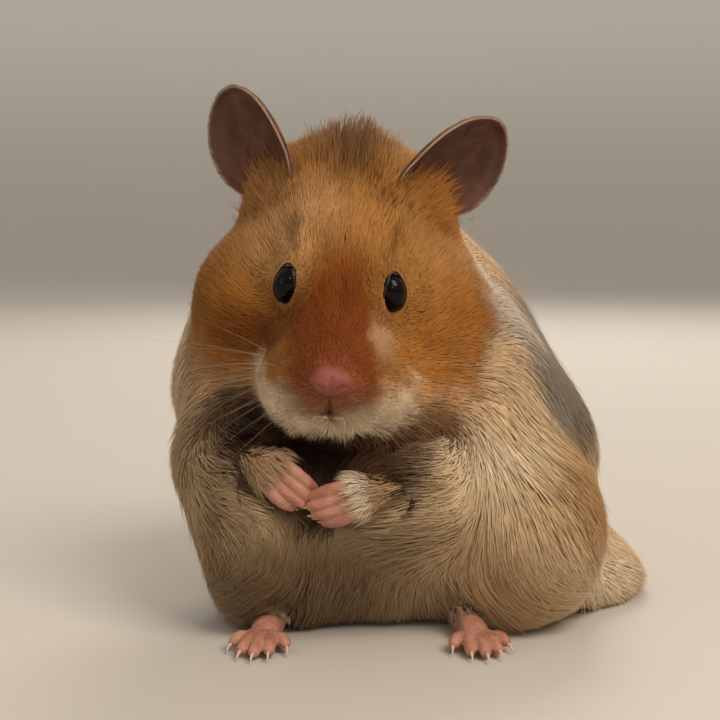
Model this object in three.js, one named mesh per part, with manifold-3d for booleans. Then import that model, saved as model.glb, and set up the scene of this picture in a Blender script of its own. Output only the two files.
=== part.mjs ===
// A Syrian hamster sitting up on its haunches with its forepaws held together, life size.
// Millimetres, +Z up. The animal faces -Y, and left and right are its own, so its left side is +X.
// The outer faces follow the tips of the coat. The body is one smooth form that thin cuts part into pieces.
import * as THREE from "three";
import { mergeVertices } from "three/addons/utils/BufferGeometryUtils.js";
import Module from "manifold-3d";

const wasm = await Module();
wasm.setup();

// ---- Driving dimensions ----
const GAP = 0.4; // clearance between two neighbouring pieces
// Facet sizes before flat neighbours are merged, and how far merging may move a surface.
const BODY_GRAIN = { cell: 5.6, slack: 0.5 };
const HEAD_GRAIN = { cell: 2.8, slack: 0.16 };
const FINE_GRAIN = { cell: 1.3, slack: 0.16 };
const CUT_GRAIN = { cell: 2.8, slack: 0.2 };

const HEAD_AT = new THREE.Vector3(-9.6, -8.5, 55); // inside the skull, behind the eyes
const HEAD_TURN = 2; // degrees that the nose points to the animal's right
const HEAD_PITCH = 20; // degrees that the nose points below the horizon
const HEAD_ROLL = 5; // degrees that the crown leans to the animal's left

// Places on the head are in its own frame: outwards to one side, forwards, upwards.
const EYE_RADIUS = 3.4;
const EYE_AT = [7.2, 11.9, 3.5];
const NOSE_AT = [0, 29, -3.7];
const NOSE_WIDTH = 6;
const EAR_LENGTH = 22;
const EAR_WIDTH = 15.5;
const EAR_THICKNESS = 1.6;
const EAR_CUP = 3.6; // depth of the hollow of the ear
const EAR_FACING = 35; // degrees that the hollow turns outwards from straight ahead
const EARS = {
  left: { base: [10.3, -8.5, 7.4], lean: 33 },
  right: { base: [11.5, -8.5, 7.2], lean: 21 },
};

const TAIL_LENGTH = 13;
const FOOT_LENGTH = 19; // from heel to the middle toe
const FINGER_LENGTH = 5.6;
const FINGER_SPACING = 2.05;
const NECK_BAND = 7; // how far the neck piece reaches beyond the head

// ---- Fields: about the distance to a surface, negative inside it ----
const vec = (xyz) => new THREE.Vector3(...xyz);
const NO_TURN = new THREE.Quaternion();
const turnBy = (degrees) =>
  new THREE.Quaternion().setFromEuler(
    new THREE.Euler(...degrees.map(THREE.MathUtils.degToRad)),
  );

// An egg-like mass with the given half-widths, turned about its own centre.
function mass(centre, halfWidths, turn = NO_TURN) {
  const at = vec(centre);
  const size = vec(halfWidths);
  const back = turn.clone().invert();
  const q = new THREE.Vector3();
  return (p) => {
    q.copy(p).sub(at).applyQuaternion(back).divide(size);
    const reach = q.length();
    return (reach * (reach - 1)) / (q.divide(size).length() + 1e-9);
  };
}

// A limb that tapers evenly from one round end to the other.
function limb(start, end, startRadius, endRadius) {
  const a = vec(start);
  const axis = vec(end).sub(a);
  const lengthSq = axis.lengthSq();
  const q = new THREE.Vector3();
  return (p) => {
    q.copy(p).sub(a);
    const along = THREE.MathUtils.clamp(q.dot(axis) / lengthSq, 0, 1);
    const radius = THREE.MathUtils.lerp(startRadius, endRadius, along);
    return q.addScaledVector(axis, -along).length() - radius;
  };
}

// Fields joined with fillets of about the given radius.
function blend(fields, fillet) {
  return (p) =>
    fields.reduce((joined, field) => {
      const d = field(p);
      const share = Math.max(fillet - Math.abs(joined - d), 0) / fillet;
      return Math.min(joined, d) - (share * share * fillet) / 4;
    }, 1e3);
}

// A field that is given in the head's own frame: x outwards to the left, y forwards, z upwards.
const headFrame = new THREE.Matrix4()
  .makeTranslation(HEAD_AT)
  .multiply(
    new THREE.Matrix4().makeRotationZ(THREE.MathUtils.degToRad(-HEAD_TURN)),
  )
  .multiply(
    new THREE.Matrix4().makeRotationX(THREE.MathUtils.degToRad(HEAD_PITCH)),
  )
  .multiply(
    new THREE.Matrix4().makeRotationY(THREE.MathUtils.degToRad(HEAD_ROLL)),
  )
  .multiply(new THREE.Matrix4().makeScale(1, -1, 1));
const toHead = headFrame.clone().invert();
function onHead(field) {
  const q = new THREE.Vector3();
  return (p) => field(q.copy(p).applyMatrix4(toHead));
}

// ---- Closed faceted solids ----
const CORNERS = [0, 1, 2, 3, 4, 5, 6, 7].map((n) => [n & 1, (n >> 1) & 1, n >> 2]);
const CELL_EDGES = CORNERS.flatMap((a, i) =>
  CORNERS.map((b, j) => [i, j]).filter(
    ([, j]) => j > i && CORNERS[j].filter((v, k) => v !== a[k]).length === 1,
  ),
);

// The surface where a field is zero: one vertex in each cell of a grid that the surface crosses,
// and a quad across each grid line that it crosses. The box has to hold the whole surface.
function surfaceOf(field, box, cell) {
  const steps = box
    .getSize(new THREE.Vector3())
    .divideScalar(cell)
    .ceil()
    .addScalar(1)
    .toArray();
  const place = (i, j, k) =>
    new THREE.Vector3(i, j, k).multiplyScalar(cell).add(box.min);
  const index = (i, j, k) => (k * steps[1] + j) * steps[0] + i;
  const values = new Float64Array(steps[0] * steps[1] * steps[2]);
  const eachPoint = (shrink, visit) => {
    for (let k = 0; k < steps[2] - shrink; k++)
      for (let j = 0; j < steps[1] - shrink; j++)
        for (let i = 0; i < steps[0] - shrink; i++) visit(i, j, k);
  };
  eachPoint(0, (i, j, k) => {
    values[index(i, j, k)] = field(place(i, j, k));
  });

  const positions = [];
  const vertexOf = new Map();
  eachPoint(1, (i, j, k) => {
    const at = CORNERS.map(([a, b, c]) => values[index(i + a, j + b, k + c)]);
    const crossings = CELL_EDGES.filter(([a, b]) => at[a] < 0 !== at[b] < 0);
    if (!crossings.length) return;
    const vertex = new THREE.Vector3();
    for (const [a, b] of crossings) {
      const share = at[a] / (at[a] - at[b]);
      vertex.add(vec(CORNERS[a]).lerp(vec(CORNERS[b]), share));
    }
    vertex.divideScalar(crossings.length).multiplyScalar(cell).add(place(i, j, k));
    vertexOf.set(index(i, j, k), positions.length / 3);
    positions.push(...settle(field, vertex, cell).toArray());
  });

  const triangles = [];
  const ringAround = (i, j, k, axis) => {
    const [u, v] = [(axis + 1) % 3, (axis + 2) % 3];
    return [[0, 0], [1, 0], [1, 1], [0, 1]].map(([du, dv]) => {
      const at = [i, j, k];
      at[u] -= du;
      at[v] -= dv;
      return vertexOf.get(index(...at));
    });
  };
  eachPoint(1, (i, j, k) => {
    for (const axis of [0, 1, 2]) {
      const next = [i, j, k];
      next[axis] += 1;
      const here = values[index(i, j, k)] < 0;
      if (here === values[index(...next)] < 0) continue;
      const [a, b, c, d] = ringAround(i, j, k, axis);
      triangles.push(...(here ? [a, b, c, a, c, d] : [a, c, b, a, d, c]));
    }
  });
  return new THREE.BufferGeometry()
    .setAttribute("position", new THREE.Float32BufferAttribute(positions, 3))
    .setIndex(triangles);
}

// A grid vertex moved onto the surface along the field's slope, by at most half a cell.
function settle(field, vertex, cell) {
  const h = 0.05;
  const probe = new THREE.Vector3();
  const slope = new THREE.Vector3();
  const start = vertex.clone();
  for (let pass = 0; pass < 3; pass++) {
    const value = field(vertex);
    slope.fromArray(
      ["x", "y", "z"].map((k) => {
        probe.copy(vertex);
        probe[k] += h;
        return (field(probe) - value) / h;
      }),
    );
    vertex.addScaledVector(slope, -value / Math.max(slope.lengthSq(), 0.2));
  }
  return vertex.sub(start).clampLength(0, cell / 2).add(start);
}

function solid(geometry) {
  const plain = geometry.clone();
  plain.deleteAttribute("normal");
  plain.deleteAttribute("uv");
  const merged = mergeVertices(plain, 1e-4);
  return new wasm.Manifold(
    new wasm.Mesh({
      numProp: 3,
      vertProperties: new Float32Array(merged.attributes.position.array),
      triVerts: new Uint32Array(merged.index.array),
    }),
  );
}

const boxFrom = (low, high) => new THREE.Box3(vec(low), vec(high));
const everywhere = boxFrom([-55, -50, -25], [60, 60, 100]);
const front = boxFrom([-42, -48, -8], [26, -8, 66]); // holds the face, paws and feet
const solidOf = (field, { cell, slack }, box = everywhere) =>
  solid(surfaceOf(field, box, cell)).simplify(slack);

const model = new THREE.Group();

function addPiece(name, shape, colour, roughness = 0.8) {
  const bodies = shape.asOriginal().simplify(GAP * 0.4).decompose().sort((a, b) => b.volume() - a.volume());
  const { numProp, vertProperties, triVerts } = bodies[0].getMesh();
  const positions = new Float32Array((vertProperties.length / numProp) * 3);
  for (let i = 0; i < positions.length / 3; i++)
    positions.set(vertProperties.subarray(i * numProp, i * numProp + 3), i * 3);
  const geometry = new THREE.BufferGeometry()
    .setAttribute("position", new THREE.BufferAttribute(positions, 3))
    .setIndex(new THREE.BufferAttribute(triVerts, 1));
  geometry.computeVertexNormals();
  const mesh = new THREE.Mesh(
    geometry,
    new THREE.MeshStandardMaterial({ color: colour, roughness, metalness: 0 }),
  );
  mesh.name = name;
  model.add(mesh);
}

// ---- The forms of the animal, out to the tips of the coat ----
const SIDES = { left: 1, right: -1 };
const bothSides = (make) => Object.values(SIDES).map(make);

const trunkForms = [
  mass([6, 15, 22], [30, 26, 24]), // rump
  mass([-3, -4, 23], [28, 24, 24]), // belly
  mass([-6, 4, 36], [33, 26, 22]), // ribs
  mass([0, 18, 40], [25, 19, 23]), // back
  mass([-9, 10, 48], [26, 21, 19]), // shoulders
  mass([-7, 8, 63], [15, 15, 14]), // nape
  mass([24, 10, 3.5], [19, 19, 9]), // long coat over the left hip
];
const haunches = {
  left: [[18, -9, 15], [15, 20, 17], turnBy([0, 0, 12])],
  right: [[-20, -9, 15], [13, 20, 17], turnBy([0, 0, -8])],
};
const forearms = {
  left: { elbow: [9, -18, 23], wrist: [-5.5, -28.5, 23.5] },
  right: { elbow: [-29, -15, 27], wrist: [-21.5, -27.5, 26.5] },
};
const tail = limb([20, 34, 7], [24, 34 + TAIL_LENGTH, 4], 4.5, 1.8);

const skull = blend(
  [
    mass([0, -3, 4], [13.5, 18.5, 13.5]), // cranium
    mass([0, -11, 9], [16, 12, 12]), // back of the head
    limb([0, 6, 1.5], [0, 23.5, -4.6], 8, 5.8), // bridge of the nose
    ...bothSides((s) => mass([s * 12.5, -1, -6], [11.5, 14, 13])), // cheek
    ...bothSides((s) => mass([s * 12, -13, 9], [4.5, 4, 5])), // root of an ear
    ...bothSides((s) => mass([s * 4.8, 21, -8.4], [6.3, 7.3, 5.6])), // whisker pad
    mass([0, 16.5, -12.1], [8.2, 9, 4.5]), // chin
    mass([0, 2, -13], [12, 12, 8]), // throat
  ],
  6,
);
const wholeAnimal = blend(
  [
    blend(
      [
        ...trunkForms,
        ...Object.values(haunches).map((haunch) => mass(...haunch)),
        ...Object.values(forearms).map(({ elbow, wrist }) => limb(elbow, wrist, 9, 4)),
      ],
      6,
    ),
    onHead(skull),
  ],
  5,
);
const grown = (field, by) => (p) => field(p) - by;

// A forepaw held in front of the chest: its fingers point one way and lie above each other.
function forepaw(wrist, pointing, above) {
  const outwards = new THREE.Vector3().crossVectors(pointing, above).normalize();
  if (outwards.y > 0) outwards.negate();
  const at = (along, up, out) =>
    vec(wrist)
      .addScaledVector(pointing, along)
      .addScaledVector(above, up)
      .addScaledVector(outwards, out)
      .toArray();
  const fingers = [0, 1, 2, 3].flatMap((n) => {
    const up = (1.5 - n) * FINGER_SPACING;
    const reach = FINGER_LENGTH * (n === 3 ? 0.8 : 1);
    const knuckle = at(3 + reach * 0.45, up, 1.2);
    return [
      limb(at(2.5, up * 0.8, 0.2), knuckle, 1.5, 1.3),
      limb(knuckle, at(3 + reach, up * 0.85, -1.2), 1.3, 0.95),
    ];
  });
  const wristToPalm = limb(at(-3, 0, -1), at(1.5, 0, -0.8), 2.6, 3.1);
  const acrossThePalm = limb(at(1, 1.6, -0.5), at(1, -2.2, -0.5), 2.6, 2.4);
  return blend([wristToPalm, acrossThePalm, ...fingers], 0.7);
}
const pointTo = (x, y, z) => new THREE.Vector3(x, y, z).normalize();
const forepaws = {
  left: forepaw([-5.2, -30, 23], pointTo(-0.95, -0.12, -0.3), pointTo(-0.3, 0, 0.95)),
  right: forepaw([-20.6, -29.5, 26.8], pointTo(0.74, -0.15, -0.67), pointTo(0.67, 0, 0.74)),
};

const behind = forepaws.right;
forepaws.right = (p) => Math.max(behind(p), GAP - forepaws.left(p));

// A hind foot flat on the floor: heel, ball and five toes, with a low flat sole.
function hindFoot(heel, splay) {
  const sideways = THREE.MathUtils.degToRad(splay);
  const at = (along, across, up) => [
    heel[0] + along * Math.sin(sideways) + across * Math.cos(sideways),
    heel[1] - along * Math.cos(sideways) + across * Math.sin(sideways),
    up,
  ];
  const toes = [-2, -1, 0, 1, 2].map((n) => {
    const reach = FOOT_LENGTH - 1 - 1.3 * n * n;
    return limb(at(FOOT_LENGTH * 0.5, n * 1.1, 1.9), at(reach, n * 2.1, 1), 1.7, 1.1);
  });
  return blend([limb(at(0, 0, 2.2), at(FOOT_LENGTH * 0.55, 0, 1.6), 2.4, 2.9), ...toes], 0.8);
}
const hindFeet = {
  left: hindFoot([9.5, -17, 0], 8),
  right: hindFoot([-20, -17, 0], -8),
};

// ---- The body, parted by thin cuts ----
const underFloor = solid(new THREE.BoxGeometry(200, 200, 60).translate(0, 0, -30));

// A faceted ball stretched to the given half-widths, each longer by the clearance.
function ball(centre, halfWidths, turn, clearance, frame = new THREE.Matrix4()) {
  const reach = halfWidths.map((halfWidth) => halfWidth + clearance);
  const place = new THREE.Matrix4().compose(vec(centre), turn, vec(reach));
  return placed(new THREE.SphereGeometry(1, 16, 10), place.premultiply(frame));
}
// A stretched ball round a forearm from the elbow to the wrist.
function forearmCutter({ elbow, wrist }, clearance) {
  const axis = vec(wrist).sub(vec(elbow));
  const turn = new THREE.Quaternion().setFromUnitVectors(
    new THREE.Vector3(0, 0, 1),
    axis.clone().normalize(),
  );
  const middle = vec(elbow).addScaledVector(axis, 0.45).toArray();
  return ball(middle, [8.6, 8.6, axis.length() / 2 + 7.5], turn, clearance);
}

// A solid from a geometry, turned right side out where its place is a mirrored one.
function placed(geometry, place) {
  const index = geometry.index.array;
  if (place.determinant() < 0)
    for (let i = 0; i < index.length; i += 3)
      [index[i], index[i + 1]] = [index[i + 1], index[i]];
  return solid(geometry.applyMatrix4(place));
}

// Pieces of one body. A cutter is a function of its clearance, and leaves a gap all round it.
function parting(bodySolid) {
  let rest = bodySolid;
  return {
    clear(cutter, clearance = GAP) {
      rest = rest.subtract(cutter(clearance));
    },
    take(cutter) {
      const piece = rest.intersect(cutter(0));
      this.clear(cutter);
      return piece;
    },
    remainder: () => rest,
  };
}
const cutterOf = (field, grain, box) => (clearance) =>
  solidOf(grown(field, clearance), grain, box);
const eachSide = (make) =>
  Object.fromEntries(Object.keys(SIDES).map((side) => [side, make(side)]));

const headRegion = (clearance) => ball([0, 11, 5], [34, 33, 23], NO_TURN, clearance, headFrame);

const body = parting(solidOf(wholeAnimal, BODY_GRAIN).subtract(underFloor));
body.clear(headRegion);
body.clear(cutterOf(tail, CUT_GRAIN), GAP * 2);
for (const side in SIDES) {
  body.clear(cutterOf(forepaws[side], CUT_GRAIN, front), GAP * 2);
  body.clear(cutterOf(hindFeet[side], CUT_GRAIN, front), GAP * 2);
}
const forelegPieces = eachSide((side) =>
  body.take((clearance) => forearmCutter(forearms[side], clearance)),
);
const hindLegPieces = eachSide((side) =>
  body.take((clearance) => ball(...haunches[side], 0.8 + clearance)),
);
const neckPiece = body.take((clearance) => headRegion(NECK_BAND + clearance));

const head = parting(solidOf(wholeAnimal, HEAD_GRAIN).intersect(headRegion(0)));
const eyeballs = eachSide((side) =>
  onHead(mass([SIDES[side] * EYE_AT[0], EYE_AT[1], EYE_AT[2]], Array(3).fill(EYE_RADIUS))),
);
const nosePad = onHead(mass(NOSE_AT, [NOSE_WIDTH / 2, 2, 2.1]));
for (const part of [eyeballs.left, eyeballs.right, nosePad])
  head.clear(cutterOf(part, FINE_GRAIN, front));
const jawPiece = head.take((clearance) =>
  ball([0, 15, -17.2], [10, 13, 7.5], NO_TURN, clearance, headFrame),
);

// ---- Ears: flattened ovals, hollowed and turned outwards ----
function earSolid(side) {
  const { base, lean } = EARS[side];
  const shape = new THREE.SphereGeometry(1, 20, 16);
  shape.rotateX(Math.PI / 2); // poles front and back, so the rim is a round edge
  const at = shape.attributes.position;
  for (let i = 0; i < at.count; i++) {
    const [across, through, up] = [at.getX(i), at.getY(i), at.getZ(i)];
    const narrowing = 1 - 0.15 * Math.max(-up, 0) - 0.1 * Math.max(up, 0);
    const hollow = EAR_CUP * (across * across + 0.45 * Math.max(up, 0) ** 2);
    at.setXYZ(
      i,
      (across * narrowing * EAR_WIDTH) / 2,
      (through * EAR_THICKNESS) / 2 + hollow - EAR_CUP / 2,
      ((up + 1) * EAR_LENGTH) / 2,
    );
  }
  const place = headFrame
    .clone()
    .multiply(new THREE.Matrix4().makeScale(SIDES[side], 1, 1))
    .multiply(new THREE.Matrix4().makeTranslation(vec(base)))
    .multiply(new THREE.Matrix4().makeRotationY(THREE.MathUtils.degToRad(lean)))
    .multiply(new THREE.Matrix4().makeRotationZ(THREE.MathUtils.degToRad(-EAR_FACING)));
  return placed(shape, place);
}

const clearOfCoat = solidOf(grown(wholeAnimal, GAP), HEAD_GRAIN);

addPiece("head", head.remainder(), 0xb9803f);
addPiece("lower_jaw", jawPiece, 0xcdb48f);
addPiece("nose", solidOf(nosePad, FINE_GRAIN, front), 0xc98a76, 0.5);
addPiece("neck", neckPiece, 0xa87a48);
addPiece("trunk", body.remainder(), 0xbfa27c);
addPiece("tail", solidOf(tail, CUT_GRAIN), 0xc9a58c);
for (const side in SIDES) {
  addPiece(`eye_${side}`, solidOf(eyeballs[side], FINE_GRAIN, front), 0x0a0605, 0.08);
  addPiece(`ear_${side}`, earSolid(side).subtract(clearOfCoat), 0x53341f);
  addPiece(`foreleg_${side}`, forelegPieces[side], 0xbfa27c);
  addPiece(`forepaw_${side}`, solidOf(forepaws[side], FINE_GRAIN, front), 0xd39b86, 0.6);
  addPiece(`hind_leg_${side}`, hindLegPieces[side], 0xbfa27c);
  const footOnFloor = solidOf(hindFeet[side], FINE_GRAIN, front).subtract(underFloor);
  addPiece(`hind_foot_${side}`, footOnFloor, 0xd39b86, 0.6);
}

// The origin is under the middle of the animal, at floor level.
const extent = new THREE.Box3().setFromObject(model);
const middle = extent.getCenter(new THREE.Vector3());
model.children.forEach((piece) =>
  piece.geometry.translate(-middle.x, -middle.y, -extent.min.z),
);

export default model;
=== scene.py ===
# %% [markdown]
# # A Syrian hamster, life size
# The animal sits up on its haunches with its forepaws held together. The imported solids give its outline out
# to the tips of the coat. This script builds what lies inside that outline: one skin, the eyes, the nose,
# the ears, the paws, and a coat of small tufts that follow the lie of the fur. All sizes are metres. Values
# that end in MM are millimetres, which suit an animal as small as this one.

# %% The frame
import itertools
import math

import bpy
import numpy as np
from mathutils import Matrix, Vector
from mathutils.bvhtree import BVHTree
from mathutils.kdtree import KDTree


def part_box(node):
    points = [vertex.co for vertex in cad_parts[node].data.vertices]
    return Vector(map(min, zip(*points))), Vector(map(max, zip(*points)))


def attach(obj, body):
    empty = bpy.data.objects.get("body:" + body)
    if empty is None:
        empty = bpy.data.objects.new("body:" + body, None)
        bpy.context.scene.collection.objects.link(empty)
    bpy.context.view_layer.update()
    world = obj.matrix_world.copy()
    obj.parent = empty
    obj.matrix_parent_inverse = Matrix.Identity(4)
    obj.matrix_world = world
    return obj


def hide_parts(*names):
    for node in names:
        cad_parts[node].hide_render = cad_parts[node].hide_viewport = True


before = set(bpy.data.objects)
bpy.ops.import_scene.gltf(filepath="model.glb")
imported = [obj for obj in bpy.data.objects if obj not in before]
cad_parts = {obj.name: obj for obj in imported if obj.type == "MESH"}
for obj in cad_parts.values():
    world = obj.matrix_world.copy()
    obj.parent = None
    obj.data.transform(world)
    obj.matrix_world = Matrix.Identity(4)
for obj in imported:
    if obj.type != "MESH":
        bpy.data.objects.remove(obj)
bpy.context.view_layer.update()
MM = 0.001
SIDES = {"left": 1, "right": -1}
SEED = 20240607
rng = np.random.default_rng(SEED)

# %% [markdown]
# ## The head's own frame
# The face is worked in millimetres from a point inside the skull: x outwards to the animal's left, y
# forwards and z up. The head is turned and tilted, so its axes are found from three things that can be
# measured on the solids: the two eyes and the nose.

# %% Middles and directions
def middle_of(node):
    low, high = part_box(node)
    return np.array((low + high) / 2)


def unit(vectors):
    """Vectors made one long."""
    lengths = np.linalg.norm(vectors, axis=-1, keepdims=True)
    return vectors / np.maximum(lengths, 1e-12)


print("nose at", middle_of("nose").round(4))

# %% Axes of the head, from the eyes and the nose
EYE_MM = np.array([7.2, 11.9, 3.5])
EYES_IN_HEAD_MM = EYE_MM * [0, 1, 1]
NOSE_IN_HEAD_MM = np.array([0.0, 29.0, -3.7])

eyes_at = {side: middle_of(f"eye_{side}") for side in SIDES}
between_eyes = (eyes_at["left"] + eyes_at["right"]) / 2
head_x = unit(eyes_at["left"] - eyes_at["right"])
to_nose = middle_of("nose") - between_eyes
to_nose = unit(to_nose - head_x * (to_nose @ head_x))
above_line = np.cross(to_nose, head_x)
above_line *= np.sign(above_line[2])
drop = NOSE_IN_HEAD_MM - EYES_IN_HEAD_MM
nose_slope = math.atan2(-drop[2], drop[1])
head_y = math.cos(nose_slope) * to_nose + math.sin(nose_slope) * above_line
head_z = -math.sin(nose_slope) * to_nose + math.cos(nose_slope) * above_line
HEAD_AXES = np.array([head_x, head_y, head_z])
HEAD_AT = between_eyes - EYES_IN_HEAD_MM * MM @ HEAD_AXES
print("head at", HEAD_AT.round(4), "forwards", head_y.round(3))


# %% Into the head's frame, and back
def to_head(points):
    """Places in metres as millimetres in the head's frame."""
    return (points - HEAD_AT) @ HEAD_AXES.T / MM


def from_head(points_mm):
    """Places in the head's frame as metres."""
    return np.asarray(points_mm, float) * MM @ HEAD_AXES + HEAD_AT


def eye_gap_mm(in_head):
    """How far places in the head's frame are from the nearer eye."""
    return np.linalg.norm(np.abs(in_head) - EYE_MM, axis=1)


print("left eye in the head's frame", to_head(eyes_at["left"]).round(2))

# %% [markdown]
# ## The camera
# A small animal looks small when the camera stands well above it, and lifelike when the camera comes down
# to its own height. This one stands a quarter of a metre away, a few degrees above the eyes, with a long
# lens that keeps the nose from looking too large. A camera looks along its own minus z, so its z is turned
# away from the animal.

# %% Camera
CAMERA_TARGET = Vector((-0.0084, -0.0060, 0.041))
CAMERA_DISTANCE = 0.25
CAMERA_ELEVATION = math.radians(6)
LENS_MM = 75

camera_data = bpy.data.cameras.new("camera")
camera_data.lens = LENS_MM
camera_data.sensor_width = 36
camera_data.clip_start = 0.01
camera = bpy.data.objects.new("camera", camera_data)
bpy.context.collection.objects.link(camera)
towards_camera = Vector((0, -math.cos(CAMERA_ELEVATION), math.sin(CAMERA_ELEVATION)))
camera.location = CAMERA_TARGET + CAMERA_DISTANCE * towards_camera
camera.rotation_euler = towards_camera.to_track_quat("Z", "Y").to_euler()
bpy.context.scene.camera = camera
print("camera at", camera.location)

# %% [markdown]
# ## Helpers for materials
# A material is a small tree of nodes that ends in one shader. By hand the nodes are picked from a menu and
# joined with the mouse. Here a few short helpers add a node, set it and link it in one line, so that the
# recipe of each finish can be read at a glance. Colours are written as they look on a screen and turned to
# linear light.


# %% Colours and nodes
def linear(hex_colour):
    """A colour such as "c98b4a" as linear RGBA."""
    parts = [int(hex_colour[i : i + 2], 16) / 255 for i in (0, 2, 4)]
    return (*[((c + 0.055) / 1.055) ** 2.4 if c > 0.04045 else c / 12.92 for c in parts], 1.0)


def add(tree, kind, settings=None, inputs=None):
    """A new node with its settings and its inputs, each of which is a value or an output to link."""
    made = tree.nodes.new("ShaderNode" + kind)
    for key, value in (settings or {}).items():
        setattr(made, key, value)
    for key, value in (inputs or {}).items():
        if isinstance(value, bpy.types.NodeSocket):
            tree.links.new(value, made.inputs[key])
        else:
            made.inputs[key].default_value = value
    return made


def vector_maths(tree, operation, inputs, output=0):
    return add(tree, "VectorMath", {"operation": operation}, inputs).outputs[output]


def mix_colours(tree, share, a, b, blend="MIX"):
    settings = {"data_type": "RGBA", "blend_type": blend}
    return add(tree, "Mix", settings, {0: share, 6: a, 7: b}).outputs[2]


def between(tree, value, low, high, out_low=0.0, out_high=1.0):
    """A smooth step of a value from low to high."""
    limits = {1: low, 2: high, 3: out_low, 4: out_high}
    made = add(tree, "MapRange", {"interpolation_type": "SMOOTHSTEP"}, {0: value, **limits})
    return made.outputs[0]


def noise(tree, place, scale, detail=2.0, roughness=0.5):
    inputs = {"Vector": place, "Scale": scale, "Detail": detail, "Roughness": roughness}
    return add(tree, "TexNoise", None, inputs)


def object_place(tree):
    return add(tree, "TexCoord").outputs["Object"]


def attribute(tree, name, output="Fac"):
    return add(tree, "Attribute", {"attribute_name": name}).outputs[output]


print("white is", linear("ffffff"))


# %% Groups and materials
def new_group(name, inputs, outputs):
    """A shader node group with named sockets, and its input and output nodes."""
    tree = bpy.data.node_groups.new(name, "ShaderNodeTree")
    for way, sockets in (("INPUT", inputs), ("OUTPUT", outputs)):
        for socket, (kind, default) in sockets.items():
            made = tree.interface.new_socket(socket, in_out=way, socket_type="NodeSocket" + kind)
            if default is not None:
                made.default_value = default
    return tree, tree.nodes.new("NodeGroupInput"), tree.nodes.new("NodeGroupOutput")


def use_group(tree, name, inputs):
    return add(tree, "Group", {"node_tree": bpy.data.node_groups[name]}, inputs)


def new_material(name, constants):
    """A material with one Principled shader. Values that don't change go on its own sockets."""
    material = bpy.data.materials.new(name)
    material.use_nodes = True
    shader = material.node_tree.nodes["Principled BSDF"]
    for socket, value in constants.items():
        shader.inputs[socket].default_value = value
    return material, material.node_tree, shader


def two_tone_material(name, constants, first, second, scale, detail=2.0):
    """A material whose colour drifts between two close tones, as nothing that grew has just one."""
    material, tree, shader = new_material(name, constants)
    share = noise(tree, object_place(tree), scale, detail).outputs["Fac"]
    tree.links.new(mix_colours(tree, share, linear(first), linear(second)), shader.inputs["Base Color"])
    return material


print("material helpers made")

# %% [markdown]
# ## The floor
# A photographer's sweep is a sheet of pale paper that curves up behind the subject, so that no line shows
# where the floor ends. A disc is given an upright wall by extruding its rim, and a wide bevel bends the
# corner into a smooth curve.


# %% Selecting nothing, or one object
def deselect_all():
    if bpy.context.mode != "OBJECT":
        bpy.ops.object.mode_set(mode="OBJECT")
    bpy.ops.object.select_all(action="DESELECT")


def activate(obj):
    deselect_all()
    obj.select_set(True)
    bpy.context.view_layer.objects.active = obj


def edit_all(obj, operator, **settings):
    """Runs one edit-mode operator on a whole mesh."""
    activate(obj)
    bpy.ops.object.mode_set(mode="EDIT")
    bpy.ops.mesh.select_all(action="SELECT")
    operator(**settings)
    bpy.ops.object.mode_set(mode="OBJECT")


deselect_all()
print("selected:", len(bpy.context.selected_objects))

# %% The sweep
FLOOR_REACH = 2.2
WALL_HEIGHT = 1.9
BEND_WIDTH = 1.4
BEND_STEPS = 28

bpy.ops.mesh.primitive_circle_add(vertices=96, radius=FLOOR_REACH, fill_type="NGON")
floor = bpy.context.active_object
floor.name = "floor"
bpy.ops.object.mode_set(mode="EDIT")
bpy.ops.mesh.select_mode(type="EDGE")
bpy.ops.mesh.select_all(action="SELECT")
bpy.ops.mesh.region_to_loop()
bpy.ops.mesh.extrude_edges_move(TRANSFORM_OT_translate={"value": (0, 0, WALL_HEIGHT)})
bpy.ops.object.mode_set(mode="OBJECT")
bend = floor.modifiers.new("bend", "BEVEL")
bend.width = BEND_WIDTH
bend.segments = BEND_STEPS
bpy.ops.object.modifier_apply(modifier="bend")
bpy.ops.object.shade_smooth()
print("floor:", len(floor.data.polygons), "faces")

# %% Its paper
PAINTED_WALL_LIGHT_HEIGHT = 0.35
floor_material, tree, shader = new_material("pale floor", {"Roughness": 0.85, "Specular IOR Level": 0.2})
place = object_place(tree)
cloudy = noise(tree, place, 3.0).outputs["Fac"]
low_part = mix_colours(tree, cloudy, linear("c6c1b9"), linear("ccc7bf"))
# Painted light: the wall is paler than the floor up to this height, since the lamps light the wall less than
# the floor.
height = add(tree, "SeparateXYZ", None, {0: place}).outputs[2]
sweep = mix_colours(tree, between(tree, height, 0.0, PAINTED_WALL_LIGHT_HEIGHT), low_part, linear("f4f2ee"))
tree.links.new(sweep, shader.inputs["Base Color"])
floor.data.materials.append(floor_material)
print("floor material:", floor_material.name)

# %% [markdown]
# ## The lamps
# Fur needs soft light from the front to show its colour and a little from behind to show its edge. There
# are large square lamps for the key, the fill and the edge, and one small bright one that only makes the
# spark in each eye. The lamps are weak in watts, because they stand less than a metre from a very small
# animal.

# %% Lamps and surroundings
LAMP_TARGET = Vector((0, 0, 0.04))
WORLD_STRENGTH = 0.52
LAMPS = {
    # name: (place, size, watts, colour)
    "key lamp": ((0.30, -0.38, 0.55), 0.36, 3.4, "ffefdd"),
    "fill lamp": ((-0.55, -0.40, 0.22), 0.40, 0.4, "fff1e4"),
    "edge lamp": ((0.10, 0.55, 0.45), 0.30, 2.2, "fff6ec"),
    "catch light": ((0.06, -0.50, 0.26), 0.035, 0.14, "ffffff"),
}
for name, (place, size, watts, colour) in LAMPS.items():
    lamp_data = bpy.data.lights.new(name, "AREA")
    lamp_data.size = size
    lamp_data.energy = watts
    lamp_data.color = linear(colour)[:3]
    lamp = bpy.data.objects.new(name, lamp_data)
    bpy.context.collection.objects.link(lamp)
    lamp.location = place
    lamp.rotation_euler = (Vector(place) - LAMP_TARGET).to_track_quat("Z", "Y").to_euler()

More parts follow.
